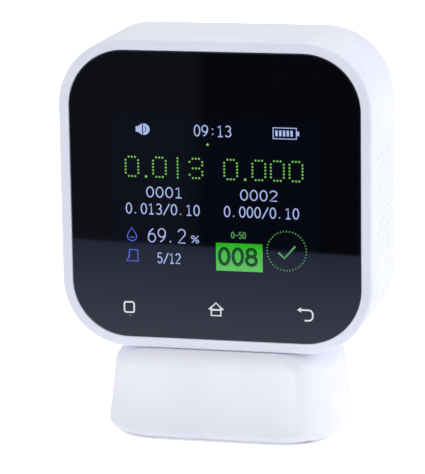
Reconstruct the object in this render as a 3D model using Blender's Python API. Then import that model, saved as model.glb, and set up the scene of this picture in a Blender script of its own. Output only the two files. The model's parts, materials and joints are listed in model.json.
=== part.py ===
# Desktop air quality monitor: a rounded-square head with a touch glass and display,
# turning on a weighted pedestal. Metres, +Z up, the front faces -Y, and the origin is
# the middle of the footprint on the table.

import math

import bmesh
import bpy
from mathutils import Matrix, Vector

# Clearances
GAP = 0.0003            # between two pieces that touch or fit into each other
PIN_HOLE_ROOM = 0.0003  # round a screw or a shaft in its hole
WELD = 0.000001         # points closer than this are one point

# Head
HEAD_WIDTH = 0.0863
HEAD_HEIGHT = 0.0852
HEAD_DEPTH = 0.0343
HEAD_CORNER = 0.0186
HEAD_WALL = 0.0020
FRONT_ROUND = 0.0013
BACK_ROUND = 0.0010
BEZEL_WIDTH = 0.0030
FRONT_WALL = 0.0016

# Glass and display
GLASS_THICKNESS = 0.0011
ADHESIVE_THICKNESS = 0.0004
ADHESIVE_WIDTH = 0.0030
LCD_SIDE_MARGIN = 0.0053   # glass edge to display module, left and right
LCD_BAND = 0.0144          # glass edge to display module, above and below
LCD_CORNER = 0.0010
LCD_FRAME_LAP = 0.0016
LCD_FRAME_THICKNESS = 0.0018
RIBBON_WIDTH = 0.0172
RIBBON_THICKNESS = 0.0003
RIBBON_TOP_DROP = 0.0083    # head middle down to where the ribbon leaves the display
RIBBON_LOW_DROP = 0.0166    # head middle down to its fold
KEY_SPACING = 0.0246
KEY_PAD = 0.0030
TOUCH_BOARD_THICKNESS = 0.0008
TOUCH_BOARD_HEIGHT = 0.0080

# Side vents
VENT_RADIUS = 0.00075
VENT_ROW_PITCH = 0.0026
VENT_COLUMN_PITCH = 0.0050
VENT_ROWS = 13
VENT_COLUMNS = 4

# Boards
BOARD_THICKNESS = 0.0016
BOARD_STANDOFF = 0.0046     # front wall to main board
BOARD_ROOM = 0.0010
BOARD_CORNER = 0.0020
BOARD_EDGE = 0.0034         # board screw to upper or lower board edge
BOARD_SIDE_EDGE = 0.0058    # upper board screw to the board's side
BOARD_BOSS_RADIUS = 0.0025
CHIP_SIDE = 0.0100
CHIP_THICKNESS = 0.0012
SOUNDER_RADIUS = 0.0060
SOUNDER_HEIGHT = 0.0050
GAS_SENSOR_RADIUS = 0.0070
GAS_SENSOR_HEIGHT = 0.0080
SMALL_SENSOR_SIDE = 0.0090
SMALL_SENSOR_HEIGHT = 0.0030
HUMIDITY_SIDE = 0.0050
HUMIDITY_HEIGHT = 0.0016
SENSOR_OFFSET = 0.0200      # sensors left and right of the middle, close to the vents
SOUNDER_RISE = 0.0199       # sounder above the head's middle
CAN_MOUTH_RADIUS = 0.0029   # the open mouth in the face of the sounder and the gas sensor
CAN_MOUTH_DEPTH = 0.0012

# Rear cover and what it carries
COVER_THICKNESS = 0.0024
COVER_BOSS_RADIUS = 0.0032
BOSS_IN_WALL = 0.0003
LABEL_WIDTH = 0.0400
LABEL_HEIGHT = 0.0180
LABEL_THICKNESS = 0.0003
LABEL_RISE = 0.0100
BATTERY_WIDTH = 0.0480
BATTERY_HEIGHT = 0.0340
BATTERY_THICKNESS = 0.0060
BATTERY_RISE = 0.0130
BATTERY_ROUND = 0.0008
PORT_DROP = 0.0230          # head middle down to the charging port
USB_WIDTH = 0.0090
USB_HEIGHT = 0.0032
USB_DEPTH = 0.0074
USB_WALL = 0.0005
USB_TONGUE_HEIGHT = 0.0007
CHARGE_BOARD_WIDTH = 0.0400
CHARGE_BOARD_DEPTH = 0.0130
CHARGE_BOARD_THICKNESS = 0.0010
LEAD_RADIUS = 0.0007
RAIL_WIDTH = 0.0026
RAIL_HEIGHT = 0.0040
BATTERY_LEAD_SIDE = 0.0133  # the two leads, left of the middle
BOARD_CABLE_SIDE = 0.0067

# Power button and its switch
BUTTON_SPACING = 0.0140
BUTTON_RADIUS = 0.0030
BUTTON_PROUD = 0.0010
BUTTON_TRAVEL = 0.0006
BUTTON_FLANGE = 0.0008
BUTTON_FLANGE_THICKNESS = 0.0008
STEM_RADIUS = 0.0010
SWITCH_WIDTH = 0.0060
SWITCH_DEPTH = 0.0030
PLUNGER_RADIUS = 0.0008
PLUNGER_PROUD = 0.0010

# Screws
SCREW_RADIUS = 0.0010
SCREW_HEAD_RADIUS = 0.0020
SCREW_HEAD_HEIGHT = 0.0012
SCREW_LENGTH = 0.0060
BOARD_SCREW_LENGTH = 0.0040
SCREW_RECESS = 0.0015
SCREW_CROWN_RADIUS = 0.0016  # flat top of the domed head

# Pedestal
BASE_WIDTH = 0.0660
BASE_DEPTH = 0.0456
BASE_HEIGHT = 0.0239
BASE_CORNER = 0.0161
BASE_DRAFT = 0.0026         # how far each side leans in from bottom to top
BASE_SHOULDER = 0.0035
BASE_LOWER_ROUND = 0.0016
BASE_WALL = 0.0020
BASE_TOP_WALL = 0.0024
BASE_PLATE_THICKNESS = 0.0024
BASE_PLATE_RECESS = 0.0004
BASE_BOSS_RADIUS = 0.0027
BASE_SCREW_X = 0.0105
BASE_SCREW_EDGE = 0.0078    # pedestal side to base screw
FOOT_RADIUS = 0.0035
FOOT_PROUD = 0.0008
FOOT_RECESS = 0.0009
FOOT_EDGE = 0.0018          # foot rim to base plate edge
BALLAST_WIDTH = 0.0500
BALLAST_HEIGHT = 0.0080
BALLAST_CORNER = 0.0030

# Swivel
POST_RADIUS = 0.0040
POST_FLAT = 0.0032          # post middle to the flat that keys the tab washer
POST_PLATE_WIDTH = 0.0300
POST_PLATE_DEPTH = 0.0100
POST_PLATE_THICKNESS = 0.0020
POST_BOSS_HEIGHT = 0.0036
POST_BOSS_RADIUS = 0.0027
POST_END = 0.0012           # post beyond the nut
WASHER_THICKNESS = 0.0008
WASHER_RADIUS = 0.0070
TAB_REACH = 0.0112
TAB_WIDTH = 0.0030
STOP_WIDTH = 0.0020
STOP_INNER = 0.0082
STOP_OUTER = 0.0120
SWIVEL_LIMIT = math.radians(45)
NUT_RADIUS = 0.0073
NUT_HEIGHT = 0.0040
GLIDE_INNER = 0.0075
GLIDE_OUTER = 0.0120
GLIDE_THICKNESS = 0.0009

# Facets
CORNER_STEPS = 6
ROUND_SIDES = 18
SMALL_SIDES = 8
VENT_SIDES = 6

# Heights and depths that follow from the sizes above
base_bottom = FOOT_PROUD
base_top = base_bottom + BASE_HEIGHT
base_ceiling = base_top - BASE_TOP_WALL
head_bottom = base_top + GAP
head_middle = head_bottom + HEAD_HEIGHT / 2
head_floor = head_bottom + HEAD_WALL
front = -HEAD_DEPTH / 2
back = HEAD_DEPTH / 2
glass_back = front + GLASS_THICKNESS
ledge = glass_back + ADHESIVE_THICKNESS + 2 * GAP
front_inner = ledge + FRONT_WALL
board_front = front_inner + BOARD_STANDOFF
board_back = board_front + BOARD_THICKNESS
cover_inner = back - COVER_THICKNESS

glass_width = HEAD_WIDTH - 2 * (BEZEL_WIDTH + GAP)
glass_height = HEAD_HEIGHT - 2 * (BEZEL_WIDTH + GAP)
glass_corner = HEAD_CORNER - BEZEL_WIDTH - GAP
lcd_width = glass_width - 2 * LCD_SIDE_MARGIN
lcd_height = glass_height - 2 * LCD_BAND
key_drop = (glass_height - LCD_BAND) / 2

inner_corner = HEAD_CORNER - HEAD_WALL
boss_reach = (inner_corner - COVER_BOSS_RADIUS + BOSS_IN_WALL) / math.sqrt(2)
cover_screw_x = HEAD_WIDTH / 2 - HEAD_CORNER + boss_reach
cover_screw_z = HEAD_HEIGHT / 2 - HEAD_CORNER + boss_reach
board_width = 2 * (cover_screw_x - COVER_BOSS_RADIUS - BOARD_ROOM)
board_height = 2 * (key_drop + BOARD_EDGE)
port_height = head_middle - PORT_DROP
charge_board_top = port_height - USB_HEIGHT / 2 - GAP
post_plate_bottom = head_floor + POST_BOSS_HEIGHT + GAP
post_screw_x = POST_PLATE_WIDTH / 2 - POST_BOSS_RADIUS
tab_washer_top = base_ceiling - GAP
friction_washer_top = tab_washer_top - WASHER_THICKNESS - GAP
nut_top = friction_washer_top - WASHER_THICKNESS - GAP
base_plate_bottom = base_bottom + BASE_PLATE_RECESS
base_plate_top = base_plate_bottom + BASE_PLATE_THICKNESS
base_screw_y = BASE_DEPTH / 2 - BASE_SCREW_EDGE
foot_corner = BASE_CORNER - BASE_WALL - GAP
foot_reach = (foot_corner - FOOT_EDGE - FOOT_RADIUS) / math.sqrt(2)
foot_x = BASE_WIDTH / 2 - BASE_CORNER + foot_reach
foot_y = BASE_DEPTH / 2 - BASE_CORNER + foot_reach
screw_hole = SCREW_RADIUS + PIN_HOLE_ROOM

ACROSS_Y = Matrix.Rotation(math.radians(-90), 4, "X")


def clear_scene():
    for item in list(bpy.data.objects):
        bpy.data.objects.remove(item, do_unlink=True)


def make_material(name, colour, roughness, metallic=0.0):
    material = bpy.data.materials.new(name)
    material.use_nodes = True
    shader = material.node_tree.nodes["Principled BSDF"]
    shader.inputs["Base Color"].default_value = (*colour, 1.0)
    shader.inputs["Roughness"].default_value = roughness
    shader.inputs["Metallic"].default_value = metallic
    material.diffuse_color = (*colour, 1.0)
    return material


def place(name, bm, material, pivot=(0, 0, 0)):
    """Turn a bmesh in world coordinates into an object whose origin is the pivot."""
    bmesh.ops.recalc_face_normals(bm, faces=bm.faces)
    bmesh.ops.translate(bm, verts=bm.verts, vec=-Vector(pivot))
    mesh = bpy.data.meshes.new(name)
    bm.to_mesh(mesh)
    bm.free()
    mesh.materials.append(material)
    mesh.shade_smooth()
    mesh.set_sharp_from_angle(angle=math.radians(35))
    piece = bpy.data.objects.new(name, mesh)
    piece.location = pivot
    bpy.context.collection.objects.link(piece)
    return piece


def helper(name, bm, material):
    """A shape that only cuts or joins other pieces."""
    piece = place(name, bm, material)
    piece.hide_render = True
    piece.display_type = "WIRE"
    return piece


def combine(piece, other, operation):
    change = piece.modifiers.new(operation.title() + " " + other.name, "BOOLEAN")
    change.operation = operation
    change.object = other
    change.solver = "EXACT"


def rounded_outline(width, height, corner, inset=0.0):
    """Points round a rectangle with round corners, shrunk by the inset on every side."""
    half_w = width / 2 - inset
    half_h = height / 2 - inset
    radius = corner - inset
    points = []
    for quarter, (side_w, side_h) in enumerate(((1, 1), (-1, 1), (-1, -1), (1, -1))):
        for step in range(CORNER_STEPS + 1):
            angle = math.radians(90) * (quarter + step / CORNER_STEPS)
            points.append((
                side_w * (half_w - radius) + radius * math.cos(angle),
                side_h * (half_h - radius) + radius * math.sin(angle),
            ))
    return points


def upright(outline, depth, middle=None):
    """An outline standing parallel to the front, at a depth along Y."""
    rise = head_middle if middle is None else middle
    return [Vector((x, depth, rise + z)) for x, z in outline]


def level(outline, height):
    """An outline lying flat at a height."""
    return [Vector((x, y, height)) for x, y in outline]


def flatted_circle(radius, flat):
    """A circle cut off by a flat on its front side."""
    turns = [2 * math.pi * step / ROUND_SIDES for step in range(ROUND_SIDES)]
    return [(radius * math.sin(a), max(radius * math.cos(a), -flat)) for a in turns]


def skin(loops, hollow=False):
    """A closed body through loops with equal numbers of points, capped or joined end to start."""
    bm = bmesh.new()
    rows = [[bm.verts.new(point) for point in loop] for loop in loops]
    pairs = list(zip(rows, rows[1:]))
    if hollow:
        pairs.append((rows[-1], rows[0]))
    else:
        bm.faces.new(rows[0])
        bm.faces.new(rows[-1])
    for low, high in pairs:
        for i in range(len(low)):
            j = (i + 1) % len(low)
            bm.faces.new((low[i], low[j], high[j], high[i]))
    return bm


def turned(profile, pose, sides=ROUND_SIDES):
    """A closed body turned from (radius, height) points about Z, then posed."""
    bm = bmesh.new()
    points = [bm.verts.new((radius, 0, height)) for radius, height in profile]
    edges = [bm.edges.new(pair) for pair in zip(points, points[1:] + points[:1])]
    bmesh.ops.spin(bm, geom=points + edges, angle=2 * math.pi, steps=sides,
                   axis=(0, 0, 1), cent=(0, 0, 0), use_merge=True)
    bmesh.ops.remove_doubles(bm, verts=bm.verts, dist=WELD)
    bmesh.ops.dissolve_degenerate(bm, edges=bm.edges, dist=WELD)
    bmesh.ops.transform(bm, matrix=pose, verts=bm.verts)
    return bm


def add_rod(bm, start, end, radius, sides=ROUND_SIDES):
    """A solid cylinder between two points."""
    start, end = Vector(start), Vector(end)
    run = end - start
    pose = Matrix.Translation((start + end) / 2) @ run.to_track_quat("Z", "Y").to_matrix().to_4x4()
    bmesh.ops.create_cone(bm, cap_ends=True, segments=sides, radius1=radius, radius2=radius,
                          depth=run.length, matrix=pose)


def add_block(bm, low, high):
    """A box from its lowest to its highest corner."""
    low, high = Vector(low), Vector(high)
    size = Matrix.Diagonal((*(high - low), 1.0))
    bmesh.ops.create_cube(bm, size=1.0, matrix=Matrix.Translation((low + high) / 2) @ size)


def block(low, high, round_off=0.0):
    bm = bmesh.new()
    add_block(bm, low, high)
    if round_off:
        bmesh.ops.bevel(bm, geom=bm.edges, offset=round_off, segments=1, profile=0.5,
                        affect="EDGES", material=-1)
    return bm


def slab(width, height, corner, near, far, middle=None):
    """A plate with round corners, parallel to the front."""
    outline = rounded_outline(width, height, corner)
    return skin([upright(outline, near, middle), upright(outline, far, middle)])


def screw(name, seat, pose, length, material):
    """A pan-head screw whose head sits on the seat; the pose turns +Z to the way it is undone."""
    dent = SCREW_HEAD_HEIGHT / 2
    profile = [
        (0, -length), (SCREW_RADIUS, -length + SCREW_RADIUS), (SCREW_RADIUS, 0),
        (SCREW_HEAD_RADIUS, 0), (SCREW_HEAD_RADIUS, dent),
        (SCREW_CROWN_RADIUS, SCREW_HEAD_HEIGHT), (SCREW_RADIUS, SCREW_HEAD_HEIGHT),
        (0, dent),
    ]
    bm = turned(profile, Matrix.Translation(seat) @ pose, SMALL_SIDES)
    return place(name, bm, material)


def four_corners(x, other):
    return [(x, other), (-x, other), (-x, -other), (x, -other)]


def cover_screw_places():
    return [(x, head_middle + z) for x, z in four_corners(cover_screw_x, cover_screw_z)]


def board_screw_places():
    upper = [(side * (board_width / 2 - BOARD_SIDE_EDGE), head_middle + key_drop)
             for side in (1, -1)]
    lower = [(side * KEY_SPACING / 2, head_middle - key_drop) for side in (-1, 1)]
    return upper + lower


def make_front_housing(white):
    def loop(inset, depth):
        return upright(rounded_outline(HEAD_WIDTH, HEAD_HEIGHT, HEAD_CORNER, inset), depth)

    def fillet(radius, steps):
        for step in range(steps + 1):
            angle = math.radians(90) * step / steps
            yield radius * (1 - math.sin(angle)), radius * (1 - math.cos(angle))

    window = rounded_outline(lcd_width + 2 * GAP, lcd_height + 2 * GAP, LCD_CORNER + GAP)
    loops = [loop(BEZEL_WIDTH, ledge), loop(BEZEL_WIDTH, front)]
    loops += [loop(inset, front + along) for inset, along in fillet(FRONT_ROUND, 3)]
    loops += [loop(inset, back - along) for inset, along in reversed(list(fillet(BACK_ROUND, 2)))]
    loops += [loop(HEAD_WALL, back), loop(HEAD_WALL, front_inner)]
    loops += [upright(window, front_inner), upright(window, ledge)]
    housing = place("front_housing", skin(loops, hollow=True), white)

    bosses = bmesh.new()
    for x, z in cover_screw_places():
        add_rod(bosses, (x, ledge + FRONT_WALL / 2, z), (x, cover_inner - GAP, z),
                COVER_BOSS_RADIUS, SMALL_SIDES)
    for x, z in board_screw_places():
        add_rod(bosses, (x, ledge + FRONT_WALL / 2, z), (x, board_front - GAP, z),
                BOARD_BOSS_RADIUS, SMALL_SIDES)
    for side in (1, -1):
        x = side * post_screw_x
        add_rod(bosses, (x, 0, head_bottom + HEAD_WALL / 2),
                (x, 0, head_floor + POST_BOSS_HEIGHT), POST_BOSS_RADIUS, SMALL_SIDES)
    combine(housing, helper("housing_bosses", bosses, white), "UNION")

    holes = bmesh.new()
    for x, z in cover_screw_places():
        add_rod(holes, (x, cover_inner - SCREW_LENGTH, z), (x, back, z), screw_hole, SMALL_SIDES)
    for x, z in board_screw_places():
        deep = board_back - BOARD_SCREW_LENGTH - GAP
        add_rod(holes, (x, deep, z), (x, board_back, z), screw_hole, SMALL_SIDES)
    for side in (1, -1):
        x = side * post_screw_x
        add_rod(holes, (x, 0, head_bottom + HEAD_WALL / 2), (x, 0, post_plate_bottom),
                screw_hole, SMALL_SIDES)
    add_rod(holes, (0, 0, head_bottom - HEAD_WALL), (0, 0, head_floor + HEAD_WALL),
            POST_RADIUS + PIN_HOLE_ROOM)
    combine(housing, helper("housing_holes", holes, white), "DIFFERENCE")
    combine(housing, helper("housing_vents", vent_rods(), white), "DIFFERENCE")
    return housing


def vent_rods():
    """Rods right through both side walls, in rows that are staggered by half a column."""
    bm = bmesh.new()
    reach = HEAD_WIDTH / 2 + HEAD_WALL
    for row in range(VENT_ROWS):
        z = head_middle + (row - (VENT_ROWS - 1) / 2) * VENT_ROW_PITCH
        count = VENT_COLUMNS - row % 2
        for column in range(count):
            y = (column - (count - 1) / 2) * VENT_COLUMN_PITCH
            add_rod(bm, (-reach, y, z), (reach, y, z), VENT_RADIUS, VENT_SIDES)
    return bm


def make_glass_and_display(black, tape, screen, steel, copper, green):
    outline = rounded_outline(glass_width, glass_height, glass_corner)
    place("front_glass", skin([upright(outline, front), upright(outline, glass_back)]), black)

    def ring(inset, depth):
        return upright(rounded_outline(glass_width, glass_height, glass_corner, inset), depth)

    tape_front, tape_back = glass_back + GAP, ledge - GAP
    loops = [ring(0, tape_front), ring(0, tape_back),
             ring(ADHESIVE_WIDTH, tape_back), ring(ADHESIVE_WIDTH, tape_front)]
    place("glass_adhesive", skin(loops, hollow=True), tape)

    panel = slab(lcd_width, lcd_height, LCD_CORNER, glass_back + GAP, front_inner)
    place("lcd_panel", panel, screen)
    frame_front = front_inner + GAP
    frame = slab(lcd_width + 2 * LCD_FRAME_LAP, lcd_height + 2 * LCD_FRAME_LAP, LCD_CORNER,
                 frame_front, frame_front + LCD_FRAME_THICKNESS)
    place("lcd_frame", frame, steel)

    # The ribbon leaves the frame's back, runs down it and turns back to the main board.
    near = frame_front + LCD_FRAME_THICKNESS + GAP
    far = board_front - GAP
    top = head_middle - RIBBON_TOP_DROP
    low = head_middle - RIBBON_LOW_DROP
    thick = RIBBON_THICKNESS
    path = [(near, top), (near, low), (far, low), (far, low + thick),
            (near + thick, low + thick), (near + thick, top)]
    half = RIBBON_WIDTH / 2
    ribbon = skin([[Vector((x, y, z)) for y, z in path] for x in (-half, half)])
    place("lcd_ribbon", ribbon, copper)

    keys = slab(2 * (KEY_SPACING + KEY_PAD), TOUCH_BOARD_HEIGHT, BOARD_CORNER, front_inner + GAP,
                front_inner + GAP + TOUCH_BOARD_THICKNESS, head_middle - key_drop)
    keys = place("touch_key_board", keys, green)
    holes = bmesh.new()
    for x, z in board_screw_places()[2:]:
        add_rod(holes, (x, front_inner, z), (x, board_front, z), BOARD_BOSS_RADIUS + GAP,
                SMALL_SIDES)
    combine(keys, helper("touch_board_holes", holes, green), "DIFFERENCE")


def make_main_board(green, dark, steel, pale):
    board = place("main_board", slab(board_width, board_height, BOARD_CORNER, board_front,
                                     board_back), green)
    holes = bmesh.new()
    for x, z in board_screw_places():
        add_rod(holes, (x, board_front - GAP, z), (x, board_back + GAP, z), screw_hole,
                SMALL_SIDES)
    combine(board, helper("main_board_holes", holes, green), "DIFFERENCE")
    for number, (x, z) in enumerate(board_screw_places(), 1):
        screw(f"board_screw_{number}", (x, board_back + GAP, z), ACROSS_Y, BOARD_SCREW_LENGTH,
              steel)

    seat = board_back + GAP
    half = CHIP_SIDE / 2
    place("main_chip", block((-half, seat, head_middle - half),
                             (half, seat + CHIP_THICKNESS, head_middle + half)), dark)

    def can(name, x, z, radius, height, material):
        """A round can with an open mouth in its face."""
        floor = height - CAN_MOUTH_DEPTH
        profile = [(0, 0), (radius, 0), (radius, height), (CAN_MOUTH_RADIUS, height),
                   (CAN_MOUTH_RADIUS, floor), (0, floor)]
        place(name, turned(profile, Matrix.Translation((x, seat, z)) @ ACROSS_Y), material)

    can("sounder", 0, head_middle + SOUNDER_RISE, SOUNDER_RADIUS, SOUNDER_HEIGHT, dark)
    can("formaldehyde_sensor", SENSOR_OFFSET, head_middle, GAS_SENSOR_RADIUS,
        GAS_SENSOR_HEIGHT, pale)

    def square_sensor(name, z, side, height, material):
        x = -SENSOR_OFFSET
        low = (x - side / 2, seat, z - side / 2)
        high = (x + side / 2, seat + height, z + side / 2)
        place(name, block(low, high), material)

    square_sensor("gas_sensor", head_middle + SMALL_SENSOR_SIDE, SMALL_SENSOR_SIDE,
                  SMALL_SENSOR_HEIGHT, steel)
    square_sensor("humidity_sensor", head_middle - HUMIDITY_SIDE, HUMIDITY_SIDE,
                  HUMIDITY_HEIGHT, pale)


def make_rear_cover(white, steel, label):
    cover = place("rear_cover", slab(HEAD_WIDTH - 2 * (HEAD_WALL + GAP),
                                     HEAD_HEIGHT - 2 * (HEAD_WALL + GAP),
                                     inner_corner - GAP, cover_inner, back), white)
    # Two channels on the inside hold the charging board by its side edges.
    groove_top = charge_board_top + GAP
    groove_bottom = charge_board_top - CHARGE_BOARD_THICKNESS - GAP
    rail_top = (groove_top + groove_bottom + RAIL_HEIGHT) / 2
    rail_bottom = rail_top - RAIL_HEIGHT
    groove = CHARGE_BOARD_WIDTH / 2 + GAP
    outer = CHARGE_BOARD_WIDTH / 2 + RAIL_WIDTH / 2
    inner = outer - RAIL_WIDTH
    channel = [(outer, rail_bottom), (outer, rail_top), (inner, rail_top), (inner, groove_top),
               (groove, groove_top), (groove, groove_bottom), (inner, groove_bottom),
               (inner, rail_bottom)]
    for side, word in ((1, "right"), (-1, "left")):
        outline = [(side * x, z) for x, z in channel]
        rail = skin([upright(outline, cover_inner - CHARGE_BOARD_DEPTH, 0),
                     upright(outline, cover_inner + COVER_THICKNESS / 2, 0)])
        combine(cover, helper(f"rail_{word}", rail, white), "UNION")

    shaft, recess = screw_hole, SCREW_HEAD_RADIUS + PIN_HOLE_ROOM
    profile = [(0, cover_inner - GAP), (shaft, cover_inner - GAP), (shaft, back - SCREW_RECESS),
               (recess, back - SCREW_RECESS), (recess, back + GAP), (0, back + GAP)]
    for number, (x, z) in enumerate(cover_screw_places(), 1):
        cut = turned(profile, Matrix.Translation((x, 0, z)) @ ACROSS_Y, SMALL_SIDES)
        combine(cover, helper(f"cover_screw_hole_{number}", cut, white), "DIFFERENCE")

    cuts = slab(USB_WIDTH + 2 * GAP, USB_HEIGHT + 2 * GAP, USB_HEIGHT / 2 + GAP - WELD,
                cover_inner - GAP, back + GAP, port_height)
    add_rod(cuts, (BUTTON_SPACING, cover_inner - GAP, port_height),
            (BUTTON_SPACING, back + GAP, port_height), BUTTON_RADIUS + PIN_HOLE_ROOM)
    half = LABEL_WIDTH / 2 + GAP
    middle = head_middle + LABEL_RISE
    add_block(cuts, (-half, back - LABEL_THICKNESS - GAP, middle - LABEL_HEIGHT / 2 - GAP),
              (half, back + GAP, middle + LABEL_HEIGHT / 2 + GAP))
    combine(cover, helper("cover_openings", cuts, white), "DIFFERENCE")

    low = (-LABEL_WIDTH / 2, back - LABEL_THICKNESS, middle - LABEL_HEIGHT / 2)
    high = (LABEL_WIDTH / 2, back, middle + LABEL_HEIGHT / 2)
    place("rating_label", block(low, high), label)
    for number, (x, z) in enumerate(cover_screw_places(), 1):
        screw(f"cover_screw_{number}", (x, back - SCREW_RECESS + GAP, z), ACROSS_Y,
              SCREW_LENGTH, steel)


def make_power_and_charging(green, steel, dark, silver, wire, white):
    battery_back = cover_inner - GAP
    middle = head_middle + BATTERY_RISE
    battery = block((-BATTERY_WIDTH / 2, battery_back - BATTERY_THICKNESS,
                     middle - BATTERY_HEIGHT / 2),
                    (BATTERY_WIDTH / 2, battery_back, middle + BATTERY_HEIGHT / 2), BATTERY_ROUND)
    place("battery_pack", battery, silver)

    near = cover_inner - CHARGE_BOARD_DEPTH
    flange_back = cover_inner - GAP
    flange_front = flange_back - BUTTON_FLANGE_THICKNESS
    far = flange_front - BUTTON_TRAVEL - GAP
    half = CHARGE_BOARD_WIDTH / 2
    place("charge_board", block((-half, near, charge_board_top - CHARGE_BOARD_THICKNESS),
                                (half, far, charge_board_top)), green)

    # The socket is a tube with a closed end and a tongue, its mouth just inside the cover's face.
    mouth = back - GAP
    end = mouth - USB_DEPTH

    def tube(inset, depth):
        corner = USB_HEIGHT / 2 - WELD
        return upright(rounded_outline(USB_WIDTH, USB_HEIGHT, corner, inset), depth, port_height)

    shell = skin([tube(0, end), tube(0, mouth), tube(USB_WALL, mouth), tube(USB_WALL, end + USB_WALL)])
    socket = place("usb_socket", shell, steel)
    tongue = bmesh.new()
    reach = USB_WIDTH / 2 - USB_HEIGHT / 2
    add_block(tongue, (-reach, end + USB_WALL / 2, port_height - USB_TONGUE_HEIGHT / 2),
              (reach, mouth - USB_WALL, port_height + USB_TONGUE_HEIGHT / 2))
    combine(socket, helper("usb_tongue", tongue, dark), "UNION")

    x, z = BUTTON_SPACING, port_height
    switch_bottom = charge_board_top + GAP
    switch_top = 2 * port_height - switch_bottom
    switch_front = near + GAP
    switch_face = switch_front + SWITCH_DEPTH
    body = block((x - SWITCH_WIDTH / 2, switch_front, switch_bottom),
                 (x + SWITCH_WIDTH / 2, switch_face, switch_top))
    body = place("power_switch", body, dark)
    well = bmesh.new()
    add_rod(well, (x, switch_front + BUTTON_TRAVEL, z), (x, back, z),
            PLUNGER_RADIUS + PIN_HOLE_ROOM, SMALL_SIDES)
    combine(body, helper("switch_well", well, dark), "DIFFERENCE")

    plunger_face = switch_face + PLUNGER_PROUD
    plunger_root = switch_front + 2 * BUTTON_TRAVEL + GAP
    plunger = bmesh.new()
    add_rod(plunger, (x, plunger_root, z), (x, plunger_face, z), PLUNGER_RADIUS,
            SMALL_SIDES)
    place("switch_plunger", plunger, white, (x, plunger_root, z))

    stem_end = plunger_face + GAP
    face = back + BUTTON_PROUD
    profile = [(0, stem_end), (STEM_RADIUS, stem_end), (STEM_RADIUS, flange_front),
               (BUTTON_RADIUS + BUTTON_FLANGE, flange_front),
               (BUTTON_RADIUS + BUTTON_FLANGE, flange_back), (BUTTON_RADIUS, flange_back),
               (BUTTON_RADIUS, face - BUTTON_PROUD / 4),
               (BUTTON_RADIUS - BUTTON_PROUD / 4, face), (0, face)]
    button = turned(profile, Matrix.Translation((x, 0, z)) @ ACROSS_Y)
    place("power_button", button, white, (x, back, z))

    # Both leads leave square to what they are joined to and swing a little on the way.
    lead_top = middle - BATTERY_HEIGHT / 2 - GAP
    lead_foot = charge_board_top + GAP
    lead_x = -BATTERY_LEAD_SIDE
    lead_y = battery_back - BATTERY_THICKNESS / 2
    swing = LEAD_RADIUS / 2
    make_lead("battery_lead", wire, [
        (lead_x + swing * aside, lead_y - swing * forward,
         lead_top + (lead_foot - lead_top) * share)
        for share, aside, forward in ((0, 0, 0), (0.25, 0, 0), (0.5, 1, 1), (0.75, 0, 2), (1, 0, 2))])
    cable_x = -BOARD_CABLE_SIDE
    near_y = near + CHARGE_BOARD_DEPTH / 6
    rise = 7 * LEAD_RADIUS
    make_lead("board_cable", wire, [
        (cable_x, near_y, lead_foot),
        (cable_x, near_y, lead_foot + rise / 2),
        (cable_x - swing, near_y + (board_back - near_y) / 4, lead_foot + rise),
        (cable_x - swing, (near_y + board_back) / 2, lead_foot + rise + swing),
        (cable_x, near_y + (board_back - near_y) * 3 / 4, lead_foot + rise),
        (cable_x, board_back + GAP, lead_foot + rise)])


def make_lead(name, material, route):
    """A soft tube along a smooth curve through the route's points."""
    route = [Vector(point) for point in route]
    ends = [2 * route[0] - route[1]] + route + [2 * route[-1] - route[-2]]
    points = []
    for before, start, finish, after in zip(ends, ends[1:], ends[2:], ends[3:]):
        for step in range(4):
            t = step / 4
            points.append(0.5 * (2 * start + (finish - before) * t
                                 + (2 * before - 5 * start + 4 * finish - after) * t ** 2
                                 + (3 * start - before - 3 * finish + after) * t ** 3))
    points.append(route[-1])
    curve = bpy.data.curves.new(name, "CURVE")
    curve.dimensions = "3D"
    curve.bevel_depth = LEAD_RADIUS
    curve.bevel_resolution = 1
    curve.use_fill_caps = True
    spline = curve.splines.new("POLY")
    spline.points.add(len(points) - 1)
    for spot, point in zip(spline.points, points):
        spot.co = (*point, 1.0)
    curve.materials.append(material)
    lead = bpy.data.objects.new(name, curve)
    bpy.context.collection.objects.link(lead)


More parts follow.
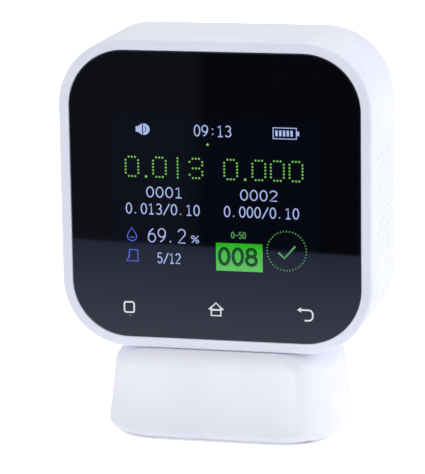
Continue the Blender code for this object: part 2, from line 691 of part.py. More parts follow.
def make_pedestal(white, dark, rubber, iron, steel, nylon):
    def loop(inset, height):
        share = (height - base_bottom) / BASE_HEIGHT
        inset += BASE_DRAFT * share
        return level(rounded_outline(BASE_WIDTH, BASE_DEPTH, BASE_CORNER, inset), height)

    inner_shoulder = BASE_SHOULDER - BASE_WALL / 2
    loops = [loop(BASE_WALL + inner_shoulder, base_ceiling),
             loop(BASE_WALL, base_ceiling - inner_shoulder), loop(BASE_WALL, base_bottom)]
    for step in range(3):
        angle = math.radians(90) * step / 2
        loops.append(loop(BASE_LOWER_ROUND * (1 - math.sin(angle)),
                          base_bottom + BASE_LOWER_ROUND * (1 - math.cos(angle))))
    for step in range(5):
        angle = math.radians(90) * step / 4
        loops.append(loop(BASE_SHOULDER * (1 - math.cos(angle)),
                          base_top - BASE_SHOULDER * (1 - math.sin(angle))))
    shell = place("base_shell", skin(loops), white)

    added = bmesh.new()
    for x, y in four_corners(BASE_SCREW_X, base_screw_y):
        add_rod(added, (x, y, base_plate_top + GAP), (x, y, base_ceiling + BASE_TOP_WALL / 4),
                BASE_BOSS_RADIUS, SMALL_SIDES)
    # Two stops hang from the ceiling on either side of the tab washer's tab.
    stop_turn = SWIVEL_LIMIT + math.asin((TAB_WIDTH / 2 + STOP_WIDTH / 2 + GAP) / STOP_INNER)
    for side in (1, -1):
        stop = block((STOP_INNER, -STOP_WIDTH / 2, friction_washer_top),
                     (STOP_OUTER, STOP_WIDTH / 2, base_ceiling + BASE_TOP_WALL / 4))
        bmesh.ops.rotate(stop, verts=stop.verts, cent=(0, 0, 0),
                         matrix=Matrix.Rotation(math.radians(90) + side * stop_turn, 3, "Z"))
        combine(shell, helper(f"stop_{'left' if side > 0 else 'right'}", stop, white), "UNION")
    combine(shell, helper("base_bosses", added, white), "UNION")

    cuts = turned([(GLIDE_INNER - GAP, base_top - GLIDE_THICKNESS - GAP),
                   (GLIDE_OUTER + GAP, base_top - GLIDE_THICKNESS - GAP),
                   (GLIDE_OUTER + GAP, base_top + GAP), (GLIDE_INNER - GAP, base_top + GAP)],
                  Matrix.Identity(4))
    add_rod(cuts, (0, 0, base_ceiling - GAP), (0, 0, base_top + GAP), POST_RADIUS + PIN_HOLE_ROOM)
    for x, y in four_corners(BASE_SCREW_X, base_screw_y):
        add_rod(cuts, (x, y, base_plate_bottom), (x, y, base_plate_bottom + SCREW_RECESS
                                                  + SCREW_LENGTH + GAP), screw_hole, SMALL_SIDES)
    combine(shell, helper("base_cuts", cuts, white), "DIFFERENCE")

    ring = [(GLIDE_INNER, base_top - GLIDE_THICKNESS), (GLIDE_OUTER, base_top - GLIDE_THICKNESS),
            (GLIDE_OUTER, base_top), (GLIDE_INNER, base_top)]
    place("glide_ring", turned(ring, Matrix.Identity(4)), nylon)

    plate_outline = rounded_outline(BASE_WIDTH, BASE_DEPTH, BASE_CORNER,
                                    BASE_WALL + BASE_DRAFT * (base_plate_top - base_bottom)
                                    / BASE_HEIGHT + GAP)
    plate = skin([level(plate_outline, base_plate_bottom), level(plate_outline, base_plate_top)])
    plate = place("base_plate", plate, dark)
    cuts = bmesh.new()
    for x, y in four_corners(BASE_SCREW_X, base_screw_y):
        add_rod(cuts, (x, y, base_plate_bottom - GAP),
                (x, y, base_plate_bottom + SCREW_RECESS), SCREW_HEAD_RADIUS + PIN_HOLE_ROOM,
                SMALL_SIDES)
    for x, y in four_corners(foot_x, foot_y):
        add_rod(cuts, (x, y, base_plate_bottom - GAP), (x, y, base_plate_bottom + FOOT_RECESS),
                FOOT_RADIUS + GAP)
    combine(plate, helper("plate_recesses", cuts, dark), "DIFFERENCE")
    cuts = bmesh.new()
    for x, y in four_corners(BASE_SCREW_X, base_screw_y):
        add_rod(cuts, (x, y, base_plate_bottom), (x, y, base_plate_top + GAP), screw_hole,
                SMALL_SIDES)
    combine(plate, helper("plate_screw_holes", cuts, dark), "DIFFERENCE")

    upside_down = Matrix.Rotation(math.pi, 4, "X")
    for number, (x, y) in enumerate(four_corners(BASE_SCREW_X, base_screw_y), 1):
        screw(f"base_screw_{number}", (x, y, base_plate_bottom + SCREW_RECESS - GAP),
              upside_down, SCREW_LENGTH, steel)
    foot_top = base_plate_bottom + FOOT_RECESS - GAP
    for number, (x, y) in enumerate(four_corners(foot_x, foot_y), 1):
        profile = [(0, 0), (FOOT_RADIUS - FOOT_PROUD / 2, 0), (FOOT_RADIUS, FOOT_PROUD / 2),
                   (FOOT_RADIUS, foot_top), (0, foot_top)]
        place(f"foot_{number}", turned(profile, Matrix.Translation((x, y, 0))), rubber)

    ballast_depth = 2 * (base_screw_y - BASE_BOSS_RADIUS - GAP)
    outline = rounded_outline(BALLAST_WIDTH, ballast_depth, BALLAST_CORNER)
    low = base_plate_top + GAP
    place("ballast_weight", skin([level(outline, low), level(outline, low + BALLAST_HEIGHT)]), iron)


def make_swivel(steel, spring_steel):
    flat_circle = flatted_circle(POST_RADIUS, POST_FLAT)
    full_circle = flatted_circle(POST_RADIUS, POST_RADIUS)
    shaft_end = nut_top - NUT_HEIGHT - POST_END
    shaft = skin([level(flat_circle, shaft_end), level(flat_circle, base_ceiling),
                  level(full_circle, base_ceiling),
                  level(full_circle, post_plate_bottom + POST_PLATE_THICKNESS / 2)])
    outline = rounded_outline(POST_PLATE_WIDTH, POST_PLATE_DEPTH, POST_PLATE_DEPTH / 3)
    plate = skin([level(outline, post_plate_bottom),
                  level(outline, post_plate_bottom + POST_PLATE_THICKNESS)])
    post = place("swivel_post", plate, steel)
    combine(post, helper("post_shaft", shaft, steel), "UNION")
    holes = bmesh.new()
    plate_top = post_plate_bottom + POST_PLATE_THICKNESS
    for side in (1, -1):
        add_rod(holes, (side * post_screw_x, 0, post_plate_bottom - GAP),
                (side * post_screw_x, 0, plate_top + GAP), screw_hole, SMALL_SIDES)
    combine(post, helper("post_holes", holes, steel), "DIFFERENCE")
    for number, side in enumerate((1, -1), 1):
        length = POST_PLATE_THICKNESS + POST_BOSS_HEIGHT
        screw(f"post_screw_{number}", (side * post_screw_x, 0, plate_top + GAP),
              Matrix.Identity(4), length, steel)

    # The washer's tab points to the back, between the two stops, and its hole has the post's flat.
    rim = flatted_circle(WASHER_RADIUS, WASHER_RADIUS)
    hole = flatted_circle(POST_RADIUS + PIN_HOLE_ROOM, POST_FLAT + PIN_HOLE_ROOM)
    low = tab_washer_top - WASHER_THICKNESS
    washer = place("tab_washer", skin([level(rim, low), level(rim, tab_washer_top),
                                       level(hole, tab_washer_top), level(hole, low)],
                                      hollow=True), steel)
    tab = block((-TAB_WIDTH / 2, WASHER_RADIUS - WASHER_THICKNESS, low),
                (TAB_WIDTH / 2, TAB_REACH, tab_washer_top))
    combine(washer, helper("washer_tab", tab, steel), "UNION")

    bore = POST_RADIUS + PIN_HOLE_ROOM
    low = friction_washer_top - WASHER_THICKNESS
    ring = [(bore, low), (WASHER_RADIUS, low), (WASHER_RADIUS, friction_washer_top),
            (bore, friction_washer_top)]
    place("friction_washer", turned(ring, Matrix.Identity(4)), spring_steel)

    turns = [2 * math.pi * step / ROUND_SIDES for step in range(ROUND_SIDES)]
    hexagon = [(NUT_RADIUS * math.cos(math.pi / 6) / math.cos((a + math.pi / 6) % (math.pi / 3)
                                                              - math.pi / 6)) for a in turns]
    rim = [(r * math.sin(a), r * math.cos(a)) for r, a in zip(hexagon, turns)]
    hole = [(bore * math.sin(a), bore * math.cos(a)) for a in turns]
    low = nut_top - NUT_HEIGHT
    place("lock_nut", skin([level(rim, low), level(rim, nut_top), level(hole, nut_top),
                            level(hole, low)], hollow=True), steel)


clear_scene()
white_abs = make_material("white ABS", (0.80, 0.81, 0.85), 0.42)
black_glass = make_material("black glass", (0.006, 0.007, 0.010), 0.06)
screen = make_material("display", (0.01, 0.012, 0.02), 0.2)
tape = make_material("black adhesive tape", (0.02, 0.02, 0.02), 0.8)
steel = make_material("zinc-plated steel", (0.55, 0.56, 0.58), 0.35, 1.0)
spring_steel = make_material("spring steel", (0.35, 0.36, 0.38), 0.4, 1.0)
iron = make_material("cast iron", (0.12, 0.12, 0.13), 0.6, 1.0)
green_board = make_material("green board", (0.02, 0.12, 0.05), 0.5)
dark_plastic = make_material("dark plastic", (0.02, 0.02, 0.022), 0.5)
pale_plastic = make_material("pale plastic", (0.70, 0.70, 0.66), 0.5)
copper_film = make_material("copper film", (0.45, 0.22, 0.06), 0.4)
foil = make_material("silver foil", (0.65, 0.66, 0.68), 0.3, 1.0)
wire = make_material("wire insulation", (0.35, 0.02, 0.02), 0.5)
label = make_material("blank label", (0.72, 0.73, 0.74), 0.5)
rubber = make_material("grey rubber", (0.10, 0.10, 0.11), 0.8)
nylon = make_material("nylon", (0.75, 0.75, 0.72), 0.5)

make_front_housing(white_abs)
make_glass_and_display(black_glass, tape, screen, steel, copper_film, green_board)
make_main_board(green_board, dark_plastic, steel, pale_plastic)
make_rear_cover(white_abs, steel, label)
make_power_and_charging(green_board, steel, dark_plastic, foil, wire, white_abs)
make_pedestal(white_abs, pale_plastic, rubber, iron, steel, nylon)
make_swivel(steel, spring_steel)
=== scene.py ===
# Looks of a desktop air quality monitor: a touch-glass display head on a weighted pedestal.
# Metres, +Z up, the front faces -Y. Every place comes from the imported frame.

import json
from math import atan, atan2, cos, dist, pi, radians, sin, tan

import bmesh
import bpy
from mathutils import Matrix, Vector


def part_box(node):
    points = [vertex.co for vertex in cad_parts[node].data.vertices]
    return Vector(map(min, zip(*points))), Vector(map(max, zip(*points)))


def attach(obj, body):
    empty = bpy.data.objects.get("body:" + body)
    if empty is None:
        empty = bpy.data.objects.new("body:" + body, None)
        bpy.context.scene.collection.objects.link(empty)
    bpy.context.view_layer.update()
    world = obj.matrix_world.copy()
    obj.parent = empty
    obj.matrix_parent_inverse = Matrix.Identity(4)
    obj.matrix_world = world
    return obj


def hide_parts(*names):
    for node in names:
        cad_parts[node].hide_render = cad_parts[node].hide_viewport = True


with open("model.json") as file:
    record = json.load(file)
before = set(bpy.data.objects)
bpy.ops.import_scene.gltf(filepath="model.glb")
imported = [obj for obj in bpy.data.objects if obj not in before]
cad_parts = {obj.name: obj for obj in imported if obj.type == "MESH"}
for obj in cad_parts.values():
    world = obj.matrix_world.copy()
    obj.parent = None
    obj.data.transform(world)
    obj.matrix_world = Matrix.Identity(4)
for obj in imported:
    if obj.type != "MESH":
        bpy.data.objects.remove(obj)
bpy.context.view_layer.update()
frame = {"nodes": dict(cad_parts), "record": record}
scene = bpy.context.scene
scene.view_settings.view_transform = "Standard"
mm = 0.001
gap = 0.3 * mm  # the room that touching pieces keep
overrun = 1.0 * mm  # how far a cutter runs past the face it opens
speck = 0.001 * mm  # points closer than this become one
sharpTurn = 32.0  # degrees from which an edge stays sharp
print("frame loaded:", len(frame["nodes"]), "nodes")

headLow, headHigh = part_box("front_housing")
glassLow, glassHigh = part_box("front_glass")
coverLow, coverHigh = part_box("rear_cover")
screenLow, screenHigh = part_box("lcd_panel")
pedestalLow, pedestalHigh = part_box("base_shell")
plateLow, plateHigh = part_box("base_plate")
headSize = headHigh - headLow
screenSize = screenHigh - screenLow
headMiddle = (headLow.z + headHigh.z) / 2


def lengths(**millimetres):
    return {name: value * mm for name, value in millimetres.items()}


def turnBy(degrees, axis):
    return Matrix.Rotation(radians(degrees), 4, axis)


# In the head's own plane x runs right, y up and z out of the glass.
headPose = Matrix.Translation((0, 0, headMiddle)) @ turnBy(90, "X")


def middleOf(node):
    low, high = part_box(node)
    return (low + high) / 2


def sizeOf(node):
    low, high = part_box(node)
    return high - low


def colour(code):  # sRGB hex to linear
    parts = [int(code[i:i + 2], 16) / 255 for i in (1, 3, 5)]
    return (*[c / 12.92 if c <= 0.04045 else ((c + 0.055) / 1.055) ** 2.4 for c in parts], 1.0)


def grey(value):
    return (value, value, value, 1.0)


def addNode(tree, kind, values=None, links=None, feeds=None, **settings):
    # A link comes from a socket or from a node's first output, and feeds is the socket
    # that takes this node's first output
    node = tree.nodes.new("ShaderNode" + kind)
    for name, value in settings.items():
        setattr(node, name, value)
    for socket, value in (values or {}).items():
        node.inputs[socket].default_value = value
    for socket, source in (links or {}).items():
        tree.links.new(getattr(source, "outputs", [source])[0], node.inputs[socket])
    if feeds is not None:
        tree.links.new(node.outputs[0], feeds)
    return node


def setRamp(node, stops):
    ramp = node.color_ramp
    while len(ramp.elements) < len(stops):
        ramp.elements.new(0.5)
    for element, (place, tone) in zip(ramp.elements, stops):
        element.position = place
        element.color = tone


def startMaterial(name, values):
    material = bpy.data.materials.new(name)
    material.use_nodes = True
    shader = material.node_tree.nodes["Principled BSDF"]
    for socket, value in values.items():
        shader.inputs[socket].default_value = value
    return material, material.node_tree, shader


def clouded(name, values, scale, tones):
    # A faint, cloudy change between two tones, at a noise scale per metre
    material, tree, shader = startMaterial(name, values)
    coords = addNode(tree, "TexCoord").outputs["Object"]
    cloud = addNode(tree, "TexNoise", {"Scale": scale, "Detail": 3.0}, {"Vector": coords})
    ramp = addNode(tree, "ValToRGB", links={"Fac": cloud}, feeds=shader.inputs["Base Color"])
    dark, light = tones
    setRamp(ramp, [(0.35, colour(dark)), (0.65, colour(light))])
    return material, tree, shader, coords, cloud


def grained(name, values, scale, tones, strength, depth, grain=None):
    # The same with a relief, from the cloud itself or from a finer grain
    material, tree, shader, coords, height = clouded(name, values, scale, tones)
    if grain:
        height = addNode(tree, "TexNoise", {"Scale": grain, "Detail": 2.0}, {"Vector": coords})
    addNode(tree, "Bump", {"Strength": strength, "Distance": depth}, {"Height": height},
            shader.inputs["Normal"])
    return material


def moulded(name, tones, rough, grain):
    # Plain moulded plastic with a fine tool texture
    return grained(name, {"Roughness": rough, "IOR": 1.5}, 80.0, tones, 0.3, 0.03 * mm, grain)


def plated(name, tones, rough, scale):
    # Plated or blued metal: a faint change of brightness and fine drawn lines
    material, tree, shader, coords = clouded(
        name, {"Metallic": 1.0, "Roughness": rough}, scale, tones)[:4]
    drawn = addNode(tree, "Mapping", {"Scale": (1.0, 1.0, 12.0)}, {"Vector": coords})
    lines = addNode(tree, "TexNoise", {"Scale": 1500.0}, {"Vector": drawn})
    addNode(tree, "Bump", {"Strength": 0.15, "Distance": 0.01 * mm}, {"Height": lines},
            shader.inputs["Normal"])
    return material


def blackGlass():
    # Soda-lime cover glass printed black on its back: a clear, cool reflection over near-black
    material, tree, shader, coords = clouded("back-printed cover glass", {
        "IOR": 1.60, "Specular Tint": colour("#D2D8FF")}, 20.0, ("#040406", "#060608"))[:4]
    smear = addNode(tree, "TexNoise", {"Scale": 35.0, "Detail": 4.0}, {"Vector": coords})
    ramp = addNode(tree, "ValToRGB", links={"Fac": smear}, feeds=shader.inputs["Roughness"])
    setRamp(ramp, [(0.35, grey(0.015)), (0.75, grey(0.05))])  # faint finger marks
    return material


# What the display shows lies behind the same glass, so it reflects as the glass does
behindGlass = {"Base Color": colour("#040509"), "Roughness": 0.03, "IOR": 1.60,
               "Specular Tint": colour("#D2D8FF")}


def lightInk(name, code, strength):
    # Light from the display's own cells, seen through the glass
    return startMaterial(name, {**behindGlass, "Emission Color": colour(code),
                                "Emission Strength": strength})[0]


def greenField(low, high):
    # The lit green field behind the large figures, deeper in colour at the top
    material, tree, shader = startMaterial("lit green field", {
        **behindGlass, "Emission Strength": 0.95})
    coords = addNode(tree, "TexCoord")
    height = addNode(tree, "SeparateXYZ", links={"Vector": coords.outputs["Object"]})
    share = addNode(tree, "MapRange", {"From Min": low, "From Max": high},
                    {"Value": height.outputs["Z"]})
    ramp = addNode(tree, "ValToRGB", links={"Fac": share}, feeds=shader.inputs["Emission Color"])
    setRamp(ramp, [(0.0, colour("#5FC452")), (1.0, colour("#24B40C"))])
    return material


def circuitBoard():
    # Glass-epoxy board under green solder mask, with fine copper tracks about 4 mm apart
    material, tree, shader = startMaterial("FR4 circuit board, green solder mask", {
        "Roughness": 0.35, "IOR": 1.55})
    coords = addNode(tree, "TexCoord")
    tracks = addNode(tree, "TexVoronoi", {"Scale": 260.0, "Randomness": 0.35},
                     {"Vector": coords.outputs["Object"]}, distance="CHEBYCHEV", feature="F2")
    ramp = addNode(tree, "ValToRGB", links={"Fac": tracks}, feeds=shader.inputs["Base Color"])
    setRamp(ramp, [(0.45, colour("#0F4D2A")), (0.62, colour("#1B6B3B"))])
    addNode(tree, "Bump", {"Strength": 0.3, "Distance": 0.03 * mm}, {"Height": ramp},
            shader.inputs["Normal"])
    return material


def copperFilm():
    # Polyimide flexible circuit: amber film with copper lines about 1 mm apart
    material, tree, shader = startMaterial("polyimide flexible circuit", {
        "Roughness": 0.3, "IOR": 1.65})
    coords = addNode(tree, "TexCoord")
    lines = addNode(tree, "TexWave", {"Scale": 320.0},
                    {"Vector": coords.outputs["Object"]}, bands_direction="X")
    ramp = addNode(tree, "ValToRGB", links={"Fac": lines.outputs["Fac"]},
                   feeds=shader.inputs["Base Color"])
    setRamp(ramp, [(0.4, colour("#8A4B12")), (0.6, colour("#C07A2C"))])
    return material


def vertsOf(geometry):
    return [item for item in geometry if isinstance(item, bmesh.types.BMVert)]


def rearPose(x, y, z):
    # Turns +Z to the back, for what is driven or pushed in from there
    return Matrix.Translation((x, y, z)) @ turnBy(-90, "X")


def roundedPlate(width, height, corner, segments=24):
    # One face in the XY plane with round corners
    bm = bmesh.new()
    bmesh.ops.create_grid(bm, x_segments=1, y_segments=1, size=0.5)
    bmesh.ops.scale(bm, verts=bm.verts, vec=(width, height, 1.0))
    bmesh.ops.bevel(bm, geom=bm.verts, affect="VERTICES", offset=corner, segments=segments,
                    profile=0.5, material=-1, clamp_overlap=False)
    return bm


def thicken(bm, low, high):
    # Makes the plate a prism from z low to z high and returns its lower and upper face
    bm.faces.ensure_lookup_table()
    upper = vertsOf(bmesh.ops.extrude_face_region(bm, geom=[bm.faces[0]])["geom"])
    raised = set(upper)
    bmesh.ops.translate(bm, verts=upper, vec=(0, 0, high))
    bmesh.ops.translate(bm, verts=[v for v in bm.verts if v not in raised], vec=(0, 0, low))
    bmesh.ops.recalc_face_normals(bm, faces=bm.faces)
    ends = sorted((f for f in bm.faces if abs(f.normal.z) > 0.99),
                  key=lambda f: f.calc_center_median().z)
    return ends[0], ends[-1]


def stepFace(bm, face, steps):
    # Pulls a face through pairs of inset and advance; a negative advance sinks it
    for inset, advance in steps:
        bmesh.ops.inset_region(bm, faces=[face], thickness=inset, depth=advance,
                               use_even_offset=True, use_boundary=True)


def roundOver(radius, segments, start=0.0):
    # The steps of a quarter-round from a wall to its end face
    turns = [start + (radians(90) - start) * i / segments for i in range(segments + 1)]
    return [(radius * (cos(a) - cos(b)), radius * (sin(b) - sin(a)))
            for a, b in zip(turns, turns[1:])]


def addRod(bm, start, end, radius, segments=20):
    start, end = Vector(start), Vector(end)
    run = end - start
    pose = Matrix.Translation((start + end) / 2) @ run.to_track_quat("Z", "Y").to_matrix().to_4x4()
    bmesh.ops.create_cone(bm, cap_ends=True, segments=segments, radius1=radius, radius2=radius,
                          depth=run.length, matrix=pose)


def addBore(bm, node, axis, start, end, radius, segments=20):
    # A rod through the middle of a node, along Y or Z
    first, last = middleOf(node), middleOf(node)
    first["xyz".index(axis)], last["xyz".index(axis)] = start, end
    addRod(bm, first, last, radius, segments)


def addBlock(bm, low, high):
    low, high = Vector(low), Vector(high)
    pose = Matrix.Translation((low + high) / 2) @ Matrix.Diagonal((*(high - low), 1.0))
    bmesh.ops.create_cube(bm, size=1.0, matrix=pose)


def turned(profile, segments=40):
    # A closed body of radius and height pairs, spun about Z
    bm = bmesh.new()
    points = [bm.verts.new((radius, 0, height)) for radius, height in profile]
    edges = [bm.edges.new(pair) for pair in zip(points, points[1:])]
    bmesh.ops.spin(bm, geom=points + edges, angle=2 * pi, steps=segments, axis=(0, 0, 1),
                   cent=(0, 0, 0), use_merge=True)
    bmesh.ops.remove_doubles(bm, verts=bm.verts, dist=speck)
    bmesh.ops.dissolve_degenerate(bm, edges=bm.edges, dist=speck)
    bmesh.ops.recalc_face_normals(bm, faces=bm.faces)
    return bm


def addObject(name, data):
    made = bpy.data.objects.new(name, data)
    scene.collection.objects.link(made)
    return made


def addBody(name, bm, pose):
    if pose is not None:
        bmesh.ops.transform(bm, matrix=pose, verts=bm.verts)
    bmesh.ops.recalc_face_normals(bm, faces=bm.faces)
    mesh = bpy.data.meshes.new(name)
    bm.to_mesh(mesh)
    bm.free()
    return addObject(name, mesh)


def makePiece(name, bm, material, body, pose=None, replaces=(), sharp=sharpTurn):
    piece = addBody(name, bm, pose)
    finishPiece(piece, material, body, replaces, sharp)
    return piece


def shade(piece, sharp):
    # Smooth rounds beside faces that stay flat
    piece.data.shade_smooth()
    piece.data.set_sharp_from_angle(angle=radians(sharp))
    weighted = piece.modifiers.new("flat faces stay flat", "WEIGHTED_NORMAL")
    weighted.keep_sharp = True
    weighted.weight = 100


def finishPiece(piece, material, body, replaces, sharp):
    piece.data.materials.clear()
    piece.data.materials.append(material)
    shade(piece, sharp)
    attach(piece, body)
    if replaces:
        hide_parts(*replaces)


def cutOrJoin(piece, helpers):
    # Applies Boolean cuts and joins in turn, then sets the shading again.
    # Each helper is an operation, a mesh and its pose
    piece.modifiers.clear()
    for operation, bm, pose in helpers:
        helper = addBody("helper", bm, pose)
        change = piece.modifiers.new("change", "BOOLEAN")
        change.operation = operation
        change.solver = "EXACT"
        change.object = helper
        graph = bpy.context.evaluated_depsgraph_get()
        result = bpy.data.meshes.new_from_object(piece.evaluated_get(graph))
        piece.modifiers.clear()
        piece.data = result
        bpy.data.objects.remove(helper)
    clean = bmesh.new()
    clean.from_mesh(piece.data)
    bmesh.ops.dissolve_degenerate(clean, edges=clean.edges, dist=speck)
    clean.to_mesh(piece.data)
    clean.free()
    shade(piece, sharpTurn)


camera = {"distance": 0.7701, "yaw": 13.67, "pitch": 12.51, "roll": -0.855,
          "right": -0.42 * mm, "up": -10.59 * mm, "lens": 217.43, "sensor": 36.0,
          "nearest": 0.01}


def makeCamera():
    # Turned about the middle of the glass, then drawn back and shifted in its own plane
    data = bpy.data.cameras.new("camera")
    data.lens = camera["lens"]
    data.sensor_width = camera["sensor"]
    data.clip_start = camera["nearest"]
    viewer = addObject("camera", data)
    viewer.matrix_world = (
        Matrix.Translation((0, glassLow.y, headMiddle)) @ turnBy(camera["yaw"], "Z")
        @ turnBy(90 - camera["pitch"], "X") @ turnBy(camera["roll"], "Z")
        @ Matrix.Translation((camera["right"], camera["up"], camera["distance"])))
    scene.camera = viewer


makeCamera()
print("camera placed")


# The floor is painted, for glossy rays only, as a table with a dark room beyond it: a painted
# reflection that the glass mirrors, so the studio has both
studio = {"floorSize": 12.0, "floorTone": "#F4F5FA", "floorGlow": 0.06, "floorBounce": 0.28,
          "ambient": 0.62, "mirrorGain": 1.2,
          "nearTone": "#FFFFFF", "farTone": "#A5ABC0", "reachStart": 0.12, "paleReach": 0.244,
          "edgeSlope": 0.09, "edgeBlur": 0.002,
          "leftTone": "#54555A", "rightTone": "#24272E", "roomLean": 0.24,
          "roomSplit": -0.004, "splitBlur": 0.004}
keyLight = {"place": (1.5, 0.05, 0.6), "aim": 0.067, "size": 0.9, "power": 6.6, "spread": 180}
topLight = {"place": (0.1, 0.3, 1.5), "aim": 0.067, "size": 1.0, "power": 8.0, "spread": 180}
fillLight = {"place": (-1.3, -0.7, 0.5), "aim": 0.067, "size": 1.2, "power": 2.5, "spread": 180}
# A wide, low slit that lifts the crease between head and pedestal
slitLight = {"place": (0.24, -0.97, 0.236), "aim": 0.016, "size": 0.12, "height": 0.004,
             "power": 0.00075, "spread": 2.4}


def makeFloor():
    bm = bmesh.new()
    bmesh.ops.create_grid(bm, x_segments=1, y_segments=1, size=studio["floorSize"] / 2)
    mesh = bpy.data.meshes.new("floor")
    bm.to_mesh(mesh)
    bm.free()
    floor = addObject("floor", mesh)
    # Painted board: pale as it is seen, and painted as a table with a room beyond it as it is
    # mirrored, a painted reflection
    material = bpy.data.materials.new("matt white board")
    material.use_nodes = True
    tree = material.node_tree
    tree.nodes.clear()
    rays = addNode(tree, "LightPath")
    matt = addNode(tree, "BsdfDiffuse", {"Color": colour(studio["floorTone"])})
    glow = addNode(tree, "Emission", {"Strength": studio["floorGlow"]})
    # Three times the board's own light, so only the deep shade right under the pedestal shows
    twice = addNode(tree, "AddShader", links={0: matt, 1: matt})
    thrice = addNode(tree, "AddShader", links={0: twice, 1: matt})
    seen = addNode(tree, "AddShader", links={0: thrice, 1: glow})
    bounce = addNode(tree, "Emission", {"Strength": studio["floorBounce"]})
    lit = addNode(tree, "AddShader", links={0: matt, 1: bounce})
    direct = addNode(tree, "MixShader", links={
        "Fac": rays.outputs["Is Camera Ray"], 1: lit, 2: seen})
    coords = addNode(tree, "TexCoord")
    place = addNode(tree, "SeparateXYZ", links={"Vector": coords.outputs["Object"]})
    # The painted table in front ends where the painted room begins, and the room is painted darker
    # on the right
    ahead = addNode(tree, "Math", {1: -1.0}, {0: place.outputs["Y"]}, operation="MULTIPLY")
    reach = addNode(tree, "Math", {1: studio["edgeSlope"]},
                    {0: place.outputs["X"], 2: ahead}, operation="MULTIPLY_ADD")
    table = addNode(tree, "ValToRGB", links={"Fac": reach})
    edge, blur = studio["paleReach"], studio["edgeBlur"]
    setRamp(table, [(studio["reachStart"], colour(studio["nearTone"])),
                    (edge, colour(studio["farTone"]))])
    share = addNode(tree, "MapRange", {"From Min": edge - blur, "From Max": edge + blur},
                    {"Value": reach})
    across = addNode(tree, "Math", {1: studio["roomLean"]},
                     {0: ahead, 2: place.outputs["X"]}, operation="MULTIPLY_ADD")
    split, blur = studio["roomSplit"], studio["splitBlur"]
    side = addNode(tree, "MapRange", {"From Min": split - blur, "From Max": split + blur},
                   {"Value": across})
    room = addNode(tree, "ValToRGB", links={"Fac": side})
    setRamp(room, [(0.0, colour(studio["leftTone"])), (1.0, colour(studio["rightTone"]))])
    tone = addNode(tree, "MixRGB", links={"Fac": share, "Color1": table, "Color2": room})
    mirrored = addNode(tree, "Emission", {"Strength": studio["mirrorGain"]}, {"Color": tone})
    both = addNode(tree, "MixShader", links={
        "Fac": rays.outputs["Is Glossy Ray"], 1: direct, 2: mirrored})
    addNode(tree, "OutputMaterial", links={"Surface": both})
    floor.data.materials.append(material)


def makeWorld():
    world = bpy.data.worlds.new("studio")
    scene.world = world
    world.use_nodes = True
    tree = world.node_tree
    background = tree.nodes["Background"]
    background.inputs["Color"].default_value = (1, 1, 1, 1)
    rays = addNode(tree, "LightPath")
    addNode(tree, "MapRange", {"To Min": studio["ambient"], "To Max": 1.0},
            {"Value": rays.outputs["Is Camera Ray"]}, background.inputs["Strength"])


def makeLight(name, settings):
    data = bpy.data.lights.new(name, "AREA")
    data.shape = "RECTANGLE"
    data.size = settings["size"]
    data.size_y = settings.get("height", settings["size"])
    data.energy = settings["power"]
    data.spread = radians(settings["spread"])
    place = Vector(settings["place"])
    turn = (Vector((0, 0, settings["aim"])) - place).to_track_quat("-Z", "Y")
    lamp = addObject(name, data)
    lamp.matrix_world = Matrix.Translation(place) @ turn.to_matrix().to_4x4()


makeFloor()
makeWorld()
makeLight("key light", keyLight)
makeLight("top light", topLight)
makeLight("fill light", fillLight)
makeLight("slit light", slitLight)
print("studio set")


head = lengths(
    corner=18.6, wall=2.0, frontRound=0.9, backRound=1.0, bezel=3.0, innerEdge=0.2, recess=2.1,
    frontWall=1.6, windowCorner=1.3, windowRoom=0.3, bossRadius=3.2, boardBossRadius=2.5,
    boardHole=3.0, postBossRadius=2.7, postBossHeight=3.6, postHole=4.3, screwRoom=1.3,
    coverWall=2.4)
vents = {"rows": 13, "columns": 4, "sides": 14, **lengths(
    radius=0.42, rim=0.72, flare=0.3, over=0.2, rowPitch=2.6, columnPitch=5.0)}


def headShell(material):
    half = headSize.y / 2
    bm = roundedPlate(headSize.x, headSize.z, head["corner"])
    rear, front = thicken(bm, -half + head["backRound"], half - head["frontRound"])
    edge = head["innerEdge"]
    stepFace(bm, front, roundOver(head["frontRound"], 6) + [
        (head["bezel"] - head["frontRound"] - edge, 0.0), (edge, -edge),
        (0.0, edge - head["recess"])])
    cavity = headSize.y - head["recess"] - head["frontWall"]
    stepFace(bm, rear, roundOver(head["backRound"], 5) + [
        (head["wall"] - head["backRound"], 0.0), (0.0, -cavity)])
    shell = makePiece("head_shell", bm, material, "head", headPose,
                      ["front_housing"])
    window = roundedPlate(screenSize.x + 2 * head["windowRoom"],
                          screenSize.z + 2 * head["windowRoom"], head["windowCorner"], 6)
    thicken(window, half - head["recess"] - 2 * head["frontWall"], half)
    return shell, window


def headBosses():
    wallMiddle = headLow.y + head["recess"] + head["frontWall"] / 2
    seat = coverHigh.y - head["coverWall"]
    joined, holes = bmesh.new(), bmesh.new()
    for number in range(1, 5):
        node = f"cover_screw_{number}"
        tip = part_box(f"cover_screw_{number}")[0].y
        addBore(joined, node, "y", wallMiddle, seat - gap, head["bossRadius"])
        addBore(holes, node, "y", tip - overrun, headHigh.y, head["screwRoom"])
        node = f"board_screw_{number}"
        low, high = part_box("main_board")
        addBore(joined, node, "y", wallMiddle, low.y - gap, head["boardBossRadius"])
        addBore(holes, node, "y", low.y - head["boardHole"], high.y, head["screwRoom"])
    start = headLow.z + head["wall"] / 2
    floor = headLow.z + head["wall"]
    for number in (1, 2):
        spot = middleOf(f"post_screw_{number}")
        addRod(joined, (spot.x, 0, start), (spot.x, 0, floor + head["postBossHeight"]),
               head["postBossRadius"])
        addRod(holes, (spot.x, 0, start), (spot.x, 0, floor + 2 * head["postBossHeight"]),
               head["screwRoom"])
    addRod(holes, (0, 0, headLow.z - overrun), (0, 0, headLow.z + 2 * head["wall"]),
           head["postHole"], 40)
    return joined, holes


